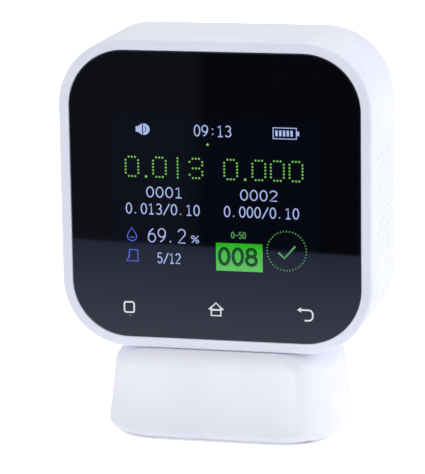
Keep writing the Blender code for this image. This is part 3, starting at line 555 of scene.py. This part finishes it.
def ventRods():
    # Each hole opens out at the skin of the wall, as a moulded hole with a soft rim does
    wall, over = headSize.x / 2, vents["over"]
    throat = wall - vents["flare"]
    slope = (vents["rim"] - vents["radius"]) / vents["flare"]
    wide = vents["rim"] + over * slope
    hole = turned([(0, -wall - over), (wide, -wall - over), (vents["radius"], -throat),
                   (vents["radius"], throat), (wide, wall + over), (0, wall + over)],
                  vents["sides"])
    bmesh.ops.rotate(hole, verts=hole.verts, matrix=Matrix.Rotation(radians(90), 3, "Y"))
    first = list(hole.verts) + list(hole.edges) + list(hole.faces)
    places = []
    for row in range(vents["rows"]):
        z = headMiddle + (row - (vents["rows"] - 1) / 2) * vents["rowPitch"]
        count = vents["columns"] - row % 2
        for column in range(count):
            places.append((0, (column - (count - 1) / 2) * vents["columnPitch"], z))
    for place in places[1:]:
        made = bmesh.ops.duplicate(hole, geom=first)["geom"]
        bmesh.ops.translate(hole, vec=place, verts=vertsOf(made))
    bmesh.ops.translate(hole, vec=places[0], verts=vertsOf(first))
    return hole


glass = lengths(width=80.1, height=79.0, corner=15.5, edge=0.3)


def frontGlass(material):
    bm = roundedPlate(glass["width"], glass["height"], glass["corner"])
    low, high = -glassHigh.y, -glassLow.y
    front = thicken(bm, low, high - glass["edge"])[1]
    stepFace(bm, front, roundOver(glass["edge"], 3))
    makePiece("touch_glass", bm, material, "head", headPose, ["front_glass"], 50.0)


# Injection-moulded white ABS from a spark-eroded tool: satin, grains of about 0.25 mm
white = grained("white ABS, spark-textured moulding", {"Roughness": 0.42, "IOR": 1.53},
                60.0, ("#E0E2F0", "#E5E7F4"), 0.25, 0.02 * mm, 4000.0)
shell, window = headShell(white)
bosses, bossHoles = headBosses()
cutOrJoin(shell, [("DIFFERENCE", window, headPose), ("UNION", bosses, None),
                  ("DIFFERENCE", bossHoles, None), ("DIFFERENCE", ventRods(), None)])
frontGlass(blackGlass())
print("head shell and glass made")


# What the display shows is laid out in millimetres from the middle of the glass
face = {"curveSteps": 20, "sameSpot": 0.01, **lengths(
    depth=0.03, proud=0.02, above=0.035, pen=0.5)}
pens = {"text": 0.32, "small": 0.24, "large": 0.92, "page": 0.42, "drop": 0.3, "battery": 0.34,
        "wave": 0.22, "tick": 0.26, "mark": 0.55, "key": 0.44, "dot": 0.2}


def arc(x, y, rx, ry, start, end):
    count = max(3, round(abs(end - start) / 360 * face["curveSteps"]))
    turns = [radians(start + (end - start) * i / count) for i in range(count + 1)]
    return [(x + rx * cos(a), y + ry * sin(a)) for a in turns]


# Figures as pen strokes in a cell one wide and one high
figures = {
    "0": [arc(0.5, 0.5, 0.35, 0.5, 0, 360)],
    "1": [[(0.2, 0.84), (0.5, 1.0), (0.5, 0.0)], [(0.2, 0.0), (0.8, 0.0)]],
    "2": [arc(0.5, 0.72, 0.35, 0.28, 165, -35) + [(0.14, 0.0), (0.86, 0.0)]],
    "3": [arc(0.47, 0.76, 0.32, 0.24, 150, -90) + arc(0.47, 0.26, 0.37, 0.26, 90, -150)],
    "5": [[(0.8, 1.0), (0.22, 1.0), (0.18, 0.56)] + arc(0.47, 0.31, 0.37, 0.31, 130, -150)],
    "6": [arc(0.5, 0.31, 0.36, 0.31, 0, 360), arc(0.86, 0.31, 0.72, 0.69, 180, 105)],
    "8": [arc(0.5, 0.76, 0.31, 0.24, 0, 360), arc(0.5, 0.27, 0.36, 0.27, 0, 360)],
    "9": [arc(0.5, 0.69, 0.36, 0.31, 0, 360), arc(0.14, 0.69, 0.72, 0.69, 0, -75)],
    ".": [[(0.36, 0.0), (0.36, 0.12)]],
    ":": [[(0.5, 0.14), (0.5, 0.26)], [(0.5, 0.62), (0.5, 0.74)]],
    "/": [[(0.1, -0.08), (0.9, 1.04)]],
    "-": [[(0.15, 0.45), (0.85, 0.45)]],
    "%": [[(0.1, 0.0), (0.9, 1.0)], arc(0.24, 0.78, 0.17, 0.2, 0, 360),
          arc(0.76, 0.22, 0.17, 0.2, 0, 360)],
}


def written(text, left, bottom, pitch, height):
    # The strokes of a line of figures
    return [[(left + (index + u) * pitch, bottom + v * height) for u, v in stroke]
            for index, figure in enumerate(text) for stroke in figures.get(figure, [])]


def makeStrokes(name, groups, material, lift=face["proud"]):
    # Each group is a pen and its strokes; the tubes are flattened on to the glass
    curve = bpy.data.curves.new(name, "CURVE")
    curve.dimensions = "3D"
    curve.bevel_depth = face["pen"]
    curve.bevel_resolution = 0
    curve.use_fill_caps = True
    for pen, strokes in groups:
        for stroke in strokes:
            closed = len(stroke) > 3 and dist(stroke[0], stroke[-1]) < face["sameSpot"]
            points = stroke[:-1] if closed else stroke
            spline = curve.splines.new("POLY")
            spline.use_cyclic_u = closed
            spline.points.add(len(points) - 1)
            for point, (x, y) in zip(spline.points, points):
                point.co = (x * mm, y * mm, 0, 1)
                point.radius = pens[pen]
    holder = addObject(name, curve)
    graph = bpy.context.evaluated_depsgraph_get()
    mesh = bpy.data.meshes.new_from_object(holder.evaluated_get(graph))
    bpy.data.objects.remove(holder)
    piece = addObject(name, mesh)
    flat = Matrix.Diagonal((1, 1, face["depth"] / curve.bevel_depth, 1))
    mesh.transform(headPose @ Matrix.Translation((0, 0, -glassLow.y + lift)) @ flat)
    finishPiece(piece, material, "head", (), sharpTurn)


def makeFilled(name, outlines, material, lift=face["proud"]):
    # Flat filled shapes, each from the points of its outline
    bm = bmesh.new()
    for outline in outlines:
        verts = [bm.verts.new((x * mm, y * mm, 0)) for x, y in outline]
        top = vertsOf(bmesh.ops.extrude_face_region(bm, geom=[bm.faces.new(verts)])["geom"])
        bmesh.ops.translate(bm, verts=top, vec=(0, 0, face["depth"]))
    pose = headPose @ Matrix.Translation((0, 0, -glassLow.y + lift - face["depth"] / 2))
    makePiece(name, bm, material, "head", pose)


def box(left, bottom, right, top):
    return [(left, bottom), (right, bottom), (right, top), (left, top)]


paleInk = lightInk("display pixels, pale blue-white", "#B2C4F9", 0.9)
greenInk = lightInk("display pixels, green", "#86D466", 0.8)
dimGreenInk = lightInk("display pixels, soft green", "#66B868", 0.7)
blueInk = lightInk("display pixels, blue", "#5A70E0", 0.72)
deepInk = lightInk("display pixels, dark green", "#0B5A12", 0.6)
fieldInk = lightInk("display backlight, almost black", "#040A18", 0.22)

litField = {"box": (-28.0, -21.4, 28.7, 22.0)}
# The cone, the sound and the wave are placed from the speaker's middle, the nub from the
# battery's right edge
status = {"time": (-5.5, 16.75, 2.14, 2.9), "speaker": (-19.5, 18.17),
          "cone": [(-1.94, -0.75), (-1.3, -0.75), (-0.15, -1.6), (-0.15, 1.6), (-1.3, 0.75),
                   (-1.94, 0.75)],
          "sound": (0.15, 1.8, 1.6), "wave": (0.1, 0.85, 60),
          "battery": (16.45, 16.63, 22.77, 19.56), "nub": (0.1, 0.75, 0.6),
          "bars": 5, "bar": (17.05, 17.3, 0.62, 1.03), "barTop": 18.9, "dot": (-1.59, 14.43)}


def statusRow():
    x, y = status["speaker"]
    cone = [(x + across, y + up) for across, up in status["cone"]]
    start, reach, half = status["sound"]
    sound = [(x + start, y - half)] + arc(x + start, y, reach, half, -90, 90)[1:]
    left, bottom, right, top = status["battery"]
    barLeft, barBottom, barWidth, barPitch = status["bar"]
    bars = [box(barLeft + i * barPitch, barBottom, barLeft + i * barPitch + barWidth,
                status["barTop"]) for i in range(status["bars"])]
    middle = (bottom + top) / 2
    near, far, half = status["nub"]
    nub = box(right + near, middle - half, right + far, middle + half)
    makeFilled("status_icons", [cone, sound, nub] + bars, paleInk)
    frameLine = box(left, bottom, right, top)
    makeStrokes("status_lines", [
        ("text", written("09:13", *status["time"])),
        ("battery", [frameLine + frameLine[:1]])], paleInk)
    start, reach, turn = status["wave"]
    makeStrokes("speaker_wave", [("wave", [arc(x + start, y, reach, reach, -turn, turn)])],
                fieldInk, face["above"])


dotMatrix = {
    "pitch": 0.885, "bottom": 5.2, "radius": 0.27, "pointRadius": 0.36, "sides": 10,
    "first": [("0", -22.7), (".", -18.8), ("0", -15.03), ("1", -9.97), ("3", -4.9)],
    "second": [("0", 4.7), (".", 8.65), ("0", 12.44), ("0", 17.5), ("0", 22.58)]}
dotRows = {"0": [".###.", *["#...#"] * 5, ".###."], "1": ["..#.."] * 7,
           "3": [".###.", "#...#", "....#", ".###.", "....#", "#...#", ".###."]}


def matrixFigures():
    spots = [(*status["dot"], dotMatrix["pointRadius"])]
    for figure, middle in dotMatrix["first"] + dotMatrix["second"]:
        if figure == ".":
            spots.append((middle, dotMatrix["bottom"], dotMatrix["pointRadius"]))
            continue
        for row, line in enumerate(reversed(dotRows[figure])):
            spots += [(middle + (column - len(line) // 2) * dotMatrix["pitch"],
                       dotMatrix["bottom"] + row * dotMatrix["pitch"], dotMatrix["radius"])
                      for column, mark in enumerate(line) if mark == "#"]
    bm = bmesh.new()
    for x, y, radius in spots:
        bmesh.ops.create_cone(bm, cap_ends=True, segments=dotMatrix["sides"],
                              radius1=radius * mm, radius2=radius * mm, depth=face["depth"],
                              matrix=Matrix.Translation((x * mm, y * mm, 0)))
    pose = headPose @ Matrix.Translation((0, 0, -glassLow.y + face["proud"]))
    makePiece("matrix_figures", bm, greenInk, "head", pose)


readings = {"firstLabel": (-19.1, -0.4, 2.66, 2.75), "secondLabel": (6.95, -0.4, 2.68, 2.75),
            "firstValue": (-24.85, -5.1, 2.1, 2.8), "secondValue": (2.5, -5.1, 2.1, 2.8),
            "humidity": (-18.9, -12.85, 2.78, 3.75), "percent": (-6.6, -12.7, 2.3, 2.0),
            "day": (-16.2, -18.6, 1.68, 2.7), "scale": (4.5, -11.0, 1.05, 1.7)}


def readingText():
    makeStrokes("readings", [
        ("text", written("0001", *readings["firstLabel"])
         + written("0002", *readings["secondLabel"])
         + written("0.013/0.10", *readings["firstValue"])
         + written("0.000/0.10", *readings["secondValue"])
         + written("69.2", *readings["humidity"]) + written("5/12", *readings["day"])),
        ("small", written("%", *readings["percent"]))], paleInk)
    makeStrokes("scale_figures", [("small", written("0-50", *readings["scale"]))], dimGreenInk)


drop = {"x": -23.1, "y": -11.45, "radius": 1.3, "tip": -9.0,
        "wave": [(-0.6, -0.35), (-0.2, -0.15), (0.2, -0.45), (0.6, -0.25)]}
page = [(-23.85, -15.2), (-21.55, -15.2), (-21.5, -18.35), (-24.75, -18.35), (-24.05, -17.3)]


def smallIcons():
    x, y, radius = drop["x"], drop["y"], drop["radius"]
    tip = [(x, drop["tip"])]
    wave = [(x + across, y + up) for across, up in drop["wave"]]
    makeStrokes("small_icons", [
        ("page", [page + page[:1]]),
        ("drop", [tip + arc(x, y, radius, radius, 30, -210) + tip, wave])], blueInk)


greenBox = {"box": (0.32, -20.1, 13.2, -12.4), "lift": 0.004 * mm,
            "figures": (0.72, -18.3, 3.75, 4.4)}
dial = {"x": 19.85, "y": -14.0, "radius": 5.4, "tick": 0.42, "count": 40,
        "mark": [(17.6, -14.5), (19.2, -16.0), (22.2, -12.6)]}


def gradeFields():
    left, bottom, right, top = greenBox["box"]
    field = greenField(headMiddle + bottom * mm, headMiddle + top * mm)
    makeFilled("green_field", [box(left, bottom, right, top)], field, greenBox["lift"])
    makeStrokes("green_field_figures", [("large", written("008", *greenBox["figures"]))],
                deepInk, face["above"])
    ends = (dial["radius"] - dial["tick"] / 2, dial["radius"] + dial["tick"] / 2)
    turns = [2 * pi * index / dial["count"] for index in range(dial["count"])]
    ticks = [[(dial["x"] + end * sin(a), dial["y"] + end * cos(a)) for end in ends]
             for a in turns]
    makeStrokes("dial_ticks", [("tick", ticks), ("mark", [dial["mark"]])], dimGreenInk)


keys = {"square": (-25.65, -32.78, -22.9, -29.9), "squareCorner": 0.55,
        "dot": (-24.07, -33.71), "dotHalf": 0.1,
        "homeX": 0.1, "roofTop": -29.2, "roofFoot": -31.05, "roofHalf": 2.0,
        "wallHalf": 1.32, "wallTop": -30.6, "wallFoot": -32.7, "beam": -31.1,
        "backTip": (22.7, -30.1), "arrow": [(-0.15, 0.0), (1.0, -0.72), (1.0, 0.72)],
        "backStart": 0.6, "bow": (25.75, -31.55, 1.45, 1.1), "backEnd": 24.62}


def touchKeys(material):
    left, bottom, right, top = keys["square"]
    r = keys["squareCorner"]
    square = (arc(right - r, top - r, r, r, 90, 0) + arc(right - r, bottom + r, r, r, 0, -90)
              + arc(left + r, bottom + r, r, r, -90, -180) + arc(left + r, top - r, r, r, 180, 90)
              + [(right - r, top)])
    x, half = keys["homeX"], keys["wallHalf"]
    roof = [(x - keys["roofHalf"], keys["roofFoot"]), (x, keys["roofTop"]),
            (x + keys["roofHalf"], keys["roofFoot"])]
    walls = [(x - half, keys["wallTop"]), (x - half, keys["wallFoot"]),
             (x + half, keys["wallFoot"]), (x + half, keys["wallTop"])]
    beam = [(x - half, keys["beam"]), (x + half, keys["beam"])]
    bowX, bowY, bowHalf, bowR = keys["bow"]
    tipX, tipY = keys["backTip"]
    back = ([(tipX + keys["backStart"], tipY)]
            + arc(bowX, bowY + bowHalf - bowR, bowR, bowR, 90, 0)
            + arc(bowX, bowY - bowHalf + bowR, bowR, bowR, 0, -90)
            + [(keys["backEnd"], bowY - bowHalf)])
    dotX, dotY = keys["dot"]
    dot = [(dotX, dotY - keys["dotHalf"]), (dotX, dotY + keys["dotHalf"])]
    makeStrokes("touch_key_print", [("key", [square, roof, walls, beam, back]), ("dot", [dot])],
                material)
    arrow = [(tipX + across, tipY + up) for across, up in keys["arrow"]]
    makeFilled("touch_key_arrow", [arrow], material)


# White screen print of the touch keys, on the glass
keyInk = clouded("white screen print", {
    "Roughness": 0.35, "IOR": 1.5, "Emission Color": colour("#E6E8F0"),
    "Emission Strength": 0.18}, 900.0, ("#C9CBD6", "#D6D8E2"))[0]
makeFilled("display_field", [box(*litField["box"])], fieldInk, 0.0)
statusRow()
matrixFigures()
readingText()
smallIcons()
gradeFields()
touchKeys(keyInk)
print("display drawn")


cover = lengths(corner=16.3, edge=0.35, labelRoom=0.3, labelDepth=0.6, screwRecess=2.3,
                screwDepth=1.5, portRoom=0.3, portCorner=1.85, buttonRoom=0.3, through=4.0)


def rearCover(material):
    size = coverHigh - coverLow
    skin = coverHigh.y
    bm = roundedPlate(size.x, size.z, cover["corner"])
    inner = thicken(bm, -skin + cover["edge"], -skin + head["coverWall"])[0]
    stepFace(bm, inner, roundOver(cover["edge"], 3))
    piece = makePiece("back_cover", bm, material, "head", headPose, ["rear_cover"])
    cuts = bmesh.new()
    for number in range(1, 5):
        addBore(cuts, f"cover_screw_{number}", "y", skin - cover["screwDepth"],
                skin + overrun, cover["screwRecess"], 32)
    addBore(cuts, "power_button", "y", skin - cover["through"], skin + overrun,
            button["radius"] + cover["buttonRoom"], 40)
    spot, half = middleOf("rating_label"), sizeOf("rating_label") / 2
    wide, tall = half.x + cover["labelRoom"], half.z + cover["labelRoom"]
    addBlock(cuts, (spot.x - wide, skin - cover["labelDepth"], spot.z - tall),
             (spot.x + wide, skin + overrun, spot.z + tall))
    port, portSize = middleOf("usb_socket"), sizeOf("usb_socket")
    slot = roundedPlate(portSize.x + 2 * cover["portRoom"], portSize.z + 2 * cover["portRoom"],
                        cover["portCorner"], 10)
    thicken(slot, -cover["through"], overrun)
    cutOrJoin(piece, [("DIFFERENCE", cuts, None),
                      ("DIFFERENCE", slot, rearPose(port.x, skin, port.z))])


labelShape = lengths(corner=1.5, edge=0.06)


def ratingLabel(material):
    middle, size = middleOf("rating_label"), sizeOf("rating_label")
    edge = labelShape["edge"]
    bm = roundedPlate(size.x, size.z, labelShape["corner"], 8)
    front = thicken(bm, -size.y / 2, size.y / 2 - edge)[1]
    stepFace(bm, front, [(edge, edge)])
    makePiece("blank_label", bm, material, "head", rearPose(*middle),
              ["rating_label"])


screw = {"tipShare": 0.5, "coverTurn": 17, "baseTurn": 23, **lengths(
    shaft=1.0, tipLength=1.0, head=2.0, headHeight=1.2, dome=0.45, slotWidth=0.55,
    slotReach=1.15, slotDepth=0.8)}


def roundedRim(radius, top, edge, turns):
    # The profile of a rim that rounds over on to the top
    return [(radius - edge * (1 - cos(radians(turn))),
             top - edge + edge * sin(radians(turn))) for turn in turns]


def panScrew(name, node, body, pose, length, material):
    # The pose turns +Z to the side it is driven from and puts z 0 under the head
    top, dome, shaft = screw["headHeight"], screw["dome"], screw["shaft"]
    profile = [(0, -length), (shaft * screw["tipShare"], -length),
               (shaft, -length + screw["tipLength"]), (shaft, 0), (screw["head"], 0),
               (screw["head"], top - dome)]
    profile += roundedRim(screw["head"], top, dome, (30, 60, 90)) + [(0, top)]
    piece = makePiece(name, turned(profile, 28), material, body, pose,
                      [node])
    wide, narrow = screw["slotReach"], screw["slotWidth"] / 2
    slots = []
    for x, y in ((wide, narrow), (narrow, wide)):
        slot = bmesh.new()
        addBlock(slot, (-x, -y, top - screw["slotDepth"]), (x, y, top + overrun))
        slots.append(("DIFFERENCE", slot, pose))
    cutOrJoin(piece, slots)


def coverScrews(material):
    # Screws driven by hand stop at any angle, so each cross slot has its own turn
    for number in range(1, 5):
        low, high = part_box(f"cover_screw_{number}")
        middle = (low + high) / 2
        seat = high.y - screw["headHeight"]
        pose = rearPose(middle.x, seat, middle.z) @ turnBy(screw["coverTurn"] * number, "Z")
        panScrew(f"cover_cross_screw_{number}", f"cover_screw_{number}", "head", pose,
                 seat - low.y, material)


socket = {"pads": 12, **lengths(
    wall=0.3, corner=1.55, lip=0.06, lipDepth=0.08, tongueWidth=6.2, tongueHeight=0.7,
    tongueEnd=1.0, tongueCorner=0.25, tongueRound=0.2, padWidth=0.25, padPitch=0.5,
    padLength=2.6, padStart=0.4, padHalf=0.03)}


def chargingSocket(shellMetal, tongueNylon, padMetal):
    low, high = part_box("usb_socket")
    size = high - low
    middle = (low + high) / 2
    pose = rearPose(middle.x, high.y, middle.z)
    wall, lip, end = socket["wall"], socket["lip"], -socket["tongueEnd"]
    bm = roundedPlate(size.x, size.z, socket["corner"], 12)
    mouth = thicken(bm, -size.y, 0)[1]
    stepFace(bm, mouth, [(lip, 0.0), (wall - lip, -socket["lipDepth"]), (0.0, wall - size.y)])
    makePiece("socket_shell", bm, shellMetal, "head", pose,
              ["usb_socket"])
    tongue = roundedPlate(socket["tongueWidth"], socket["tongueHeight"],
                          socket["tongueCorner"], 5)
    tip = thicken(tongue, -size.y + wall / 2, end - socket["tongueRound"])[1]
    stepFace(tongue, tip, roundOver(socket["tongueRound"], 3))
    makePiece("socket_tongue", tongue, tongueNylon, "head", pose)
    pads = bmesh.new()
    wide, thick = socket["padWidth"] / 2, socket["padHalf"]
    for y in (socket["tongueHeight"] / 2, -socket["tongueHeight"] / 2):
        for index in range(socket["pads"]):
            x = (index - (socket["pads"] - 1) / 2) * socket["padPitch"]
            addBlock(pads, (x - wide, y - thick, end - socket["padLength"]),
                     (x + wide, y + thick, end - socket["padStart"]))
    makePiece("socket_contacts", pads, padMetal, "head", pose)


button = {"dishShape": ((0.62, 0.6), (0.3, 1.0), (0.0, 1.0)), **lengths(
    radius=3.0, flange=3.8, flangeThickness=0.8, stem=1.0, round=0.45, dish=0.18)}


def powerButton(material):
    low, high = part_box("power_button")
    middle = (low + high) / 2
    length = high.y - low.y
    flangeTop = coverHigh.y - head["coverWall"] - gap - high.y
    flangeFoot = flangeTop - button["flangeThickness"]
    radius, edge, stem = button["radius"], button["round"], button["stem"]
    profile = [(0, -length), (stem, -length), (stem, flangeFoot), (button["flange"], flangeFoot),
               (button["flange"], flangeTop), (radius, flangeTop), (radius, -edge)]
    profile += roundedRim(radius, 0, edge, (22, 45, 67, 90))
    profile += [(radius * share, -button["dish"] * depth) for share, depth in button["dishShape"]]
    makePiece("press_button", turned(profile, 48), material, "button",
              rearPose(middle.x, high.y, middle.z), ["power_button"], 40.0)


steel = plated("zinc-plated steel", ("#9FA3A8", "#BCC0C6"), 0.32, 400.0)
darkPlastic = moulded("black nylon moulding", ("#151618", "#1E1F22"), 0.5, 3000.0)
gold = plated("gold-plated contacts", ("#D8AE55", "#E8C878"), 0.28, 500.0)
# Blank matt polyester label with a fine fibre
label = grained("matt polyester label", {"Roughness": 0.5, "IOR": 1.5},
                1200.0, ("#CBCDD4", "#D4D6DC"), 0.15, 0.01 * mm)
rearCover(white)
ratingLabel(label)
coverScrews(steel)
chargingSocket(steel, darkPlastic, gold)
powerButton(white)
print("back of the head made")


pedestal = {"stopTurn": 64.97, "endDraw": 0.062, **lengths(
    corner=15.93, draft=2.6, shoulder=6.0, shoulderInset=4.4, lowerRound=1.8, lowerGap=0.3,
    wall=2.0, topWall=2.4, start=0.5, root=0.6, bossRadius=2.7, screwRoom=1.3, ringRoom=0.3,
    ringBore=7.2, bore=4.3, stopWidth=2.0, stopInner=8.2, stopOuter=12.0, stopDrop=1.4,
    closer=0.2, innerShoulder=2.5, drawFrom=17.5)}


def pedestalShell(material):
    # Its top comes 0.2 mm closer to the head than the CAD's, and its foot is 0.3 mm higher
    size = pedestalHigh - pedestalLow + Vector((0, 0, pedestal["closer"] - pedestal["lowerGap"]))
    lift = pedestalLow.z + pedestal["lowerGap"] + pedestal["lowerRound"]
    lean = atan2(pedestal["draft"], size.z)
    flatter = pedestal["shoulderInset"] / pedestal["shoulder"]
    turn = atan(tan(lean) / flatter)
    wallHeight = size.z - pedestal["lowerRound"] - pedestal["shoulder"] * (1 - sin(turn))
    bm = roundedPlate(size.x, size.y, pedestal["corner"])
    start = pedestal["start"]
    bottom, top = thicken(bm, lift, lift + start)
    stepFace(bm, top, [((wallHeight - start) * tan(lean), wallHeight - start)]
             + [(inset * flatter, advance)
                for inset, advance in roundOver(pedestal["shoulder"], 10, turn)])
    rise = size.z - pedestal["closer"] - pedestal["topWall"]
    curve = pedestal["innerShoulder"]
    stepFace(bm, bottom, roundOver(pedestal["lowerRound"], 6) + [
        (pedestal["wall"] - pedestal["lowerRound"], 0.0),
        ((rise - curve) * tan(lean), curve - rise)]
        + [(inset, -advance) for inset, advance in roundOver(curve, 5)])
    # The two ends draw in further towards the top than the front and back do
    summit = lift - pedestal["lowerRound"] + size.z
    for vert in bm.verts:
        share = max(0.0, (vert.co.z - pedestal["drawFrom"]) / (summit - pedestal["drawFrom"]))
        vert.co.x *= 1 - pedestal["endDraw"] * share ** 2
    piece = makePiece("pedestal_shell", bm, material, "base", None, ["base_shell"])
    ceiling, above = pedestalHigh.z - pedestal["topWall"], pedestalHigh.z + overrun
    root, fall = pedestal["root"], pedestal["stopDrop"]
    bosses, cuts = bmesh.new(), bmesh.new()
    for number in range(1, 5):
        node = f"base_screw_{number}"
        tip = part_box(f"base_screw_{number}")[1].z
        addBore(bosses, node, "z", plateHigh.z + gap, ceiling + root, pedestal["bossRadius"])
        addBore(cuts, node, "z", plateLow.z, tip + gap, pedestal["screwRoom"])
    addRod(cuts, (0, 0, ceiling - overrun), (0, 0, above), pedestal["bore"], 40)
    inner, outer = pedestal["ringBore"], sizeOf("glide_ring").x / 2 + pedestal["ringRoom"]
    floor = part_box("glide_ring")[0].z - pedestal["ringRoom"]
    groove = turned([(inner, floor), (outer, floor), (outer, above), (inner, above),
                     (inner, floor)], 64)
    stops = bmesh.new()
    near, far = pedestal["stopInner"], pedestal["stopOuter"]
    for side in (1, -1):
        bmesh.ops.create_cube(stops, size=1.0, matrix=(
            turnBy(90 + side * pedestal["stopTurn"], "Z")
            @ Matrix.Translation(((near + far) / 2, 0, ceiling + (root - fall) / 2))
            @ Matrix.Diagonal((far - near, pedestal["stopWidth"], fall + root, 1))))
    cutOrJoin(piece, [("UNION", bosses, None), ("UNION", stops, None),
                      ("DIFFERENCE", cuts, None), ("DIFFERENCE", groove, None)])


underside = lengths(corner=13.8, edge=0.3, screwRecess=2.3, screwDepth=1.5, footDepth=0.9,
                    footRoom=0.3)


def pedestalPlate(material):
    size = plateHigh - plateLow
    bm = roundedPlate(size.x, size.y, underside["corner"])
    lower = thicken(bm, plateLow.z + underside["edge"], plateHigh.z)[0]
    stepFace(bm, lower, roundOver(underside["edge"], 2))
    piece = makePiece("pedestal_plate", bm, material, "base", None,
                      ["base_plate"])
    cuts, below = bmesh.new(), plateLow.z - overrun
    for number in range(1, 5):
        addBore(cuts, f"base_screw_{number}", "z", below, plateLow.z + underside["screwDepth"],
                underside["screwRecess"], 32)
        node = f"foot_{number}"
        addBore(cuts, node, "z", below, plateLow.z + underside["footDepth"],
                sizeOf(node).x / 2 + underside["footRoom"], 48)
    cutOrJoin(piece, [("DIFFERENCE", cuts, None)])


# The foot's groove is given as shares of the radius and the depths there
foot = {"edge": 0.35 * mm, "groove": ((0.55, 0), (0.6, 0.05 * mm), (0.66, 0))}


def feetAndScrews(rubber, material):
    for number in range(1, 5):
        low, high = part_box(f"foot_{number}")
        middle = (low + high) / 2
        radius, edge = (high.x - low.x) / 2, foot["edge"]
        profile = [(0, 0)] + [(radius * share, depth) for share, depth in foot["groove"]]
        profile += [(radius - edge, 0)]
        profile += [(radius - edge + edge * sin(a), edge - edge * cos(a))
                    for a in (radians(30), radians(60), radians(90))]
        profile += [(radius, high.z), (0, high.z)]
        makePiece(f"rubber_foot_{number}", turned(profile, 48), rubber, "base",
                  Matrix.Translation((middle.x, middle.y, 0)),
                  [f"foot_{number}"])
        low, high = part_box(f"base_screw_{number}")
        middle = (low + high) / 2
        seat = low.z + screw["headHeight"]
        pose = (Matrix.Translation((middle.x, middle.y, seat)) @ turnBy(180, "X")
                @ turnBy(screw["baseTurn"] * number, "Z"))
        panScrew(f"base_cross_screw_{number}", f"base_screw_{number}", "base", pose,
                 high.z - seat, material)


# The same white ABS as the head's, from a slightly finer tool, and painted a shade paler: painted
# light for the extra light the pedestal takes
pedestalLitWhite = grained("white ABS, fine satin moulding, painted paler as lit", {"Roughness": 0.46, "IOR": 1.53},
                        45.0, ("#E9EAF4", "#EEEFF8"), 0.2, 0.02 * mm, 4600.0)
greyPlastic = moulded("grey ABS moulding", ("#8E9096", "#9A9CA2"), 0.55, 2600.0)
# Moulded nitrile foot: matt, a little dusty
rubber = grained("nitrile rubber foot", {"Roughness": 0.75, "IOR": 1.52},
                 500.0, ("#4B4D52", "#5C5E63"), 0.4, 0.05 * mm)
pedestalShell(pedestalLitWhite)
pedestalPlate(greyPlastic)
feetAndScrews(rubber, steel)
print("pedestal made")

# Sand-cast grey iron: dark, matt and grainy
castIron = grained("grey cast iron, sand-cast", {"Metallic": 0.8, "Roughness": 0.7},
                   700.0, ("#3A3B3D", "#55565A"), 0.6, 0.15 * mm)
# Aluminium laminate pouch: soft wrinkles some 6 mm apart
batteryFoil = grained("aluminium laminate pouch", {"Metallic": 0.9, "Roughness": 0.38},
                      150.0, ("#A9ABB0", "#C9CBD0"), 0.5, 0.2 * mm)
# The pieces that keep the shape of the CAD take these finishes
slotFinishes = {
    "white_abs": white,
    "display": moulded("display module, black", ("#07080C", "#0B0C12"), 0.25, 2000.0),
    "adhesive_tape": moulded("black foam tape", ("#101012", "#18181A"), 0.85, 1500.0),
    "zinc_plated_steel": steel,
    "spring_steel": plated("blued spring steel", ("#5A5E66", "#70757E"), 0.35, 500.0),
    "cast_iron": castIron,
    "circuit_board": circuitBoard(),
    "dark_plastic": darkPlastic,
    "pale_plastic": moulded("natural nylon moulding", ("#CFCDC2", "#DAD8CE"), 0.5, 2600.0),
    "grey_plastic": greyPlastic,
    "copper_film": copperFilm(),
    "battery_foil": batteryFoil,
    "wire_insulation": moulded("red silicone insulation", ("#8E1A16", "#A3211B"), 0.5, 2200.0),
    "label_stock": label,
    "grey_rubber": rubber,
    "nylon": moulded("acetal glide ring", ("#D9D8D0", "#E3E2DA"), 0.4, 2400.0),
}
for row in frame["record"]["subparts"]:
    node = frame["nodes"].get(row["node"])
    if node is not None and row["material_slot"] in slotFinishes:
        node.data.materials.clear()
        node.data.materials.append(slotFinishes[row["material_slot"]])
print("inner pieces finished")
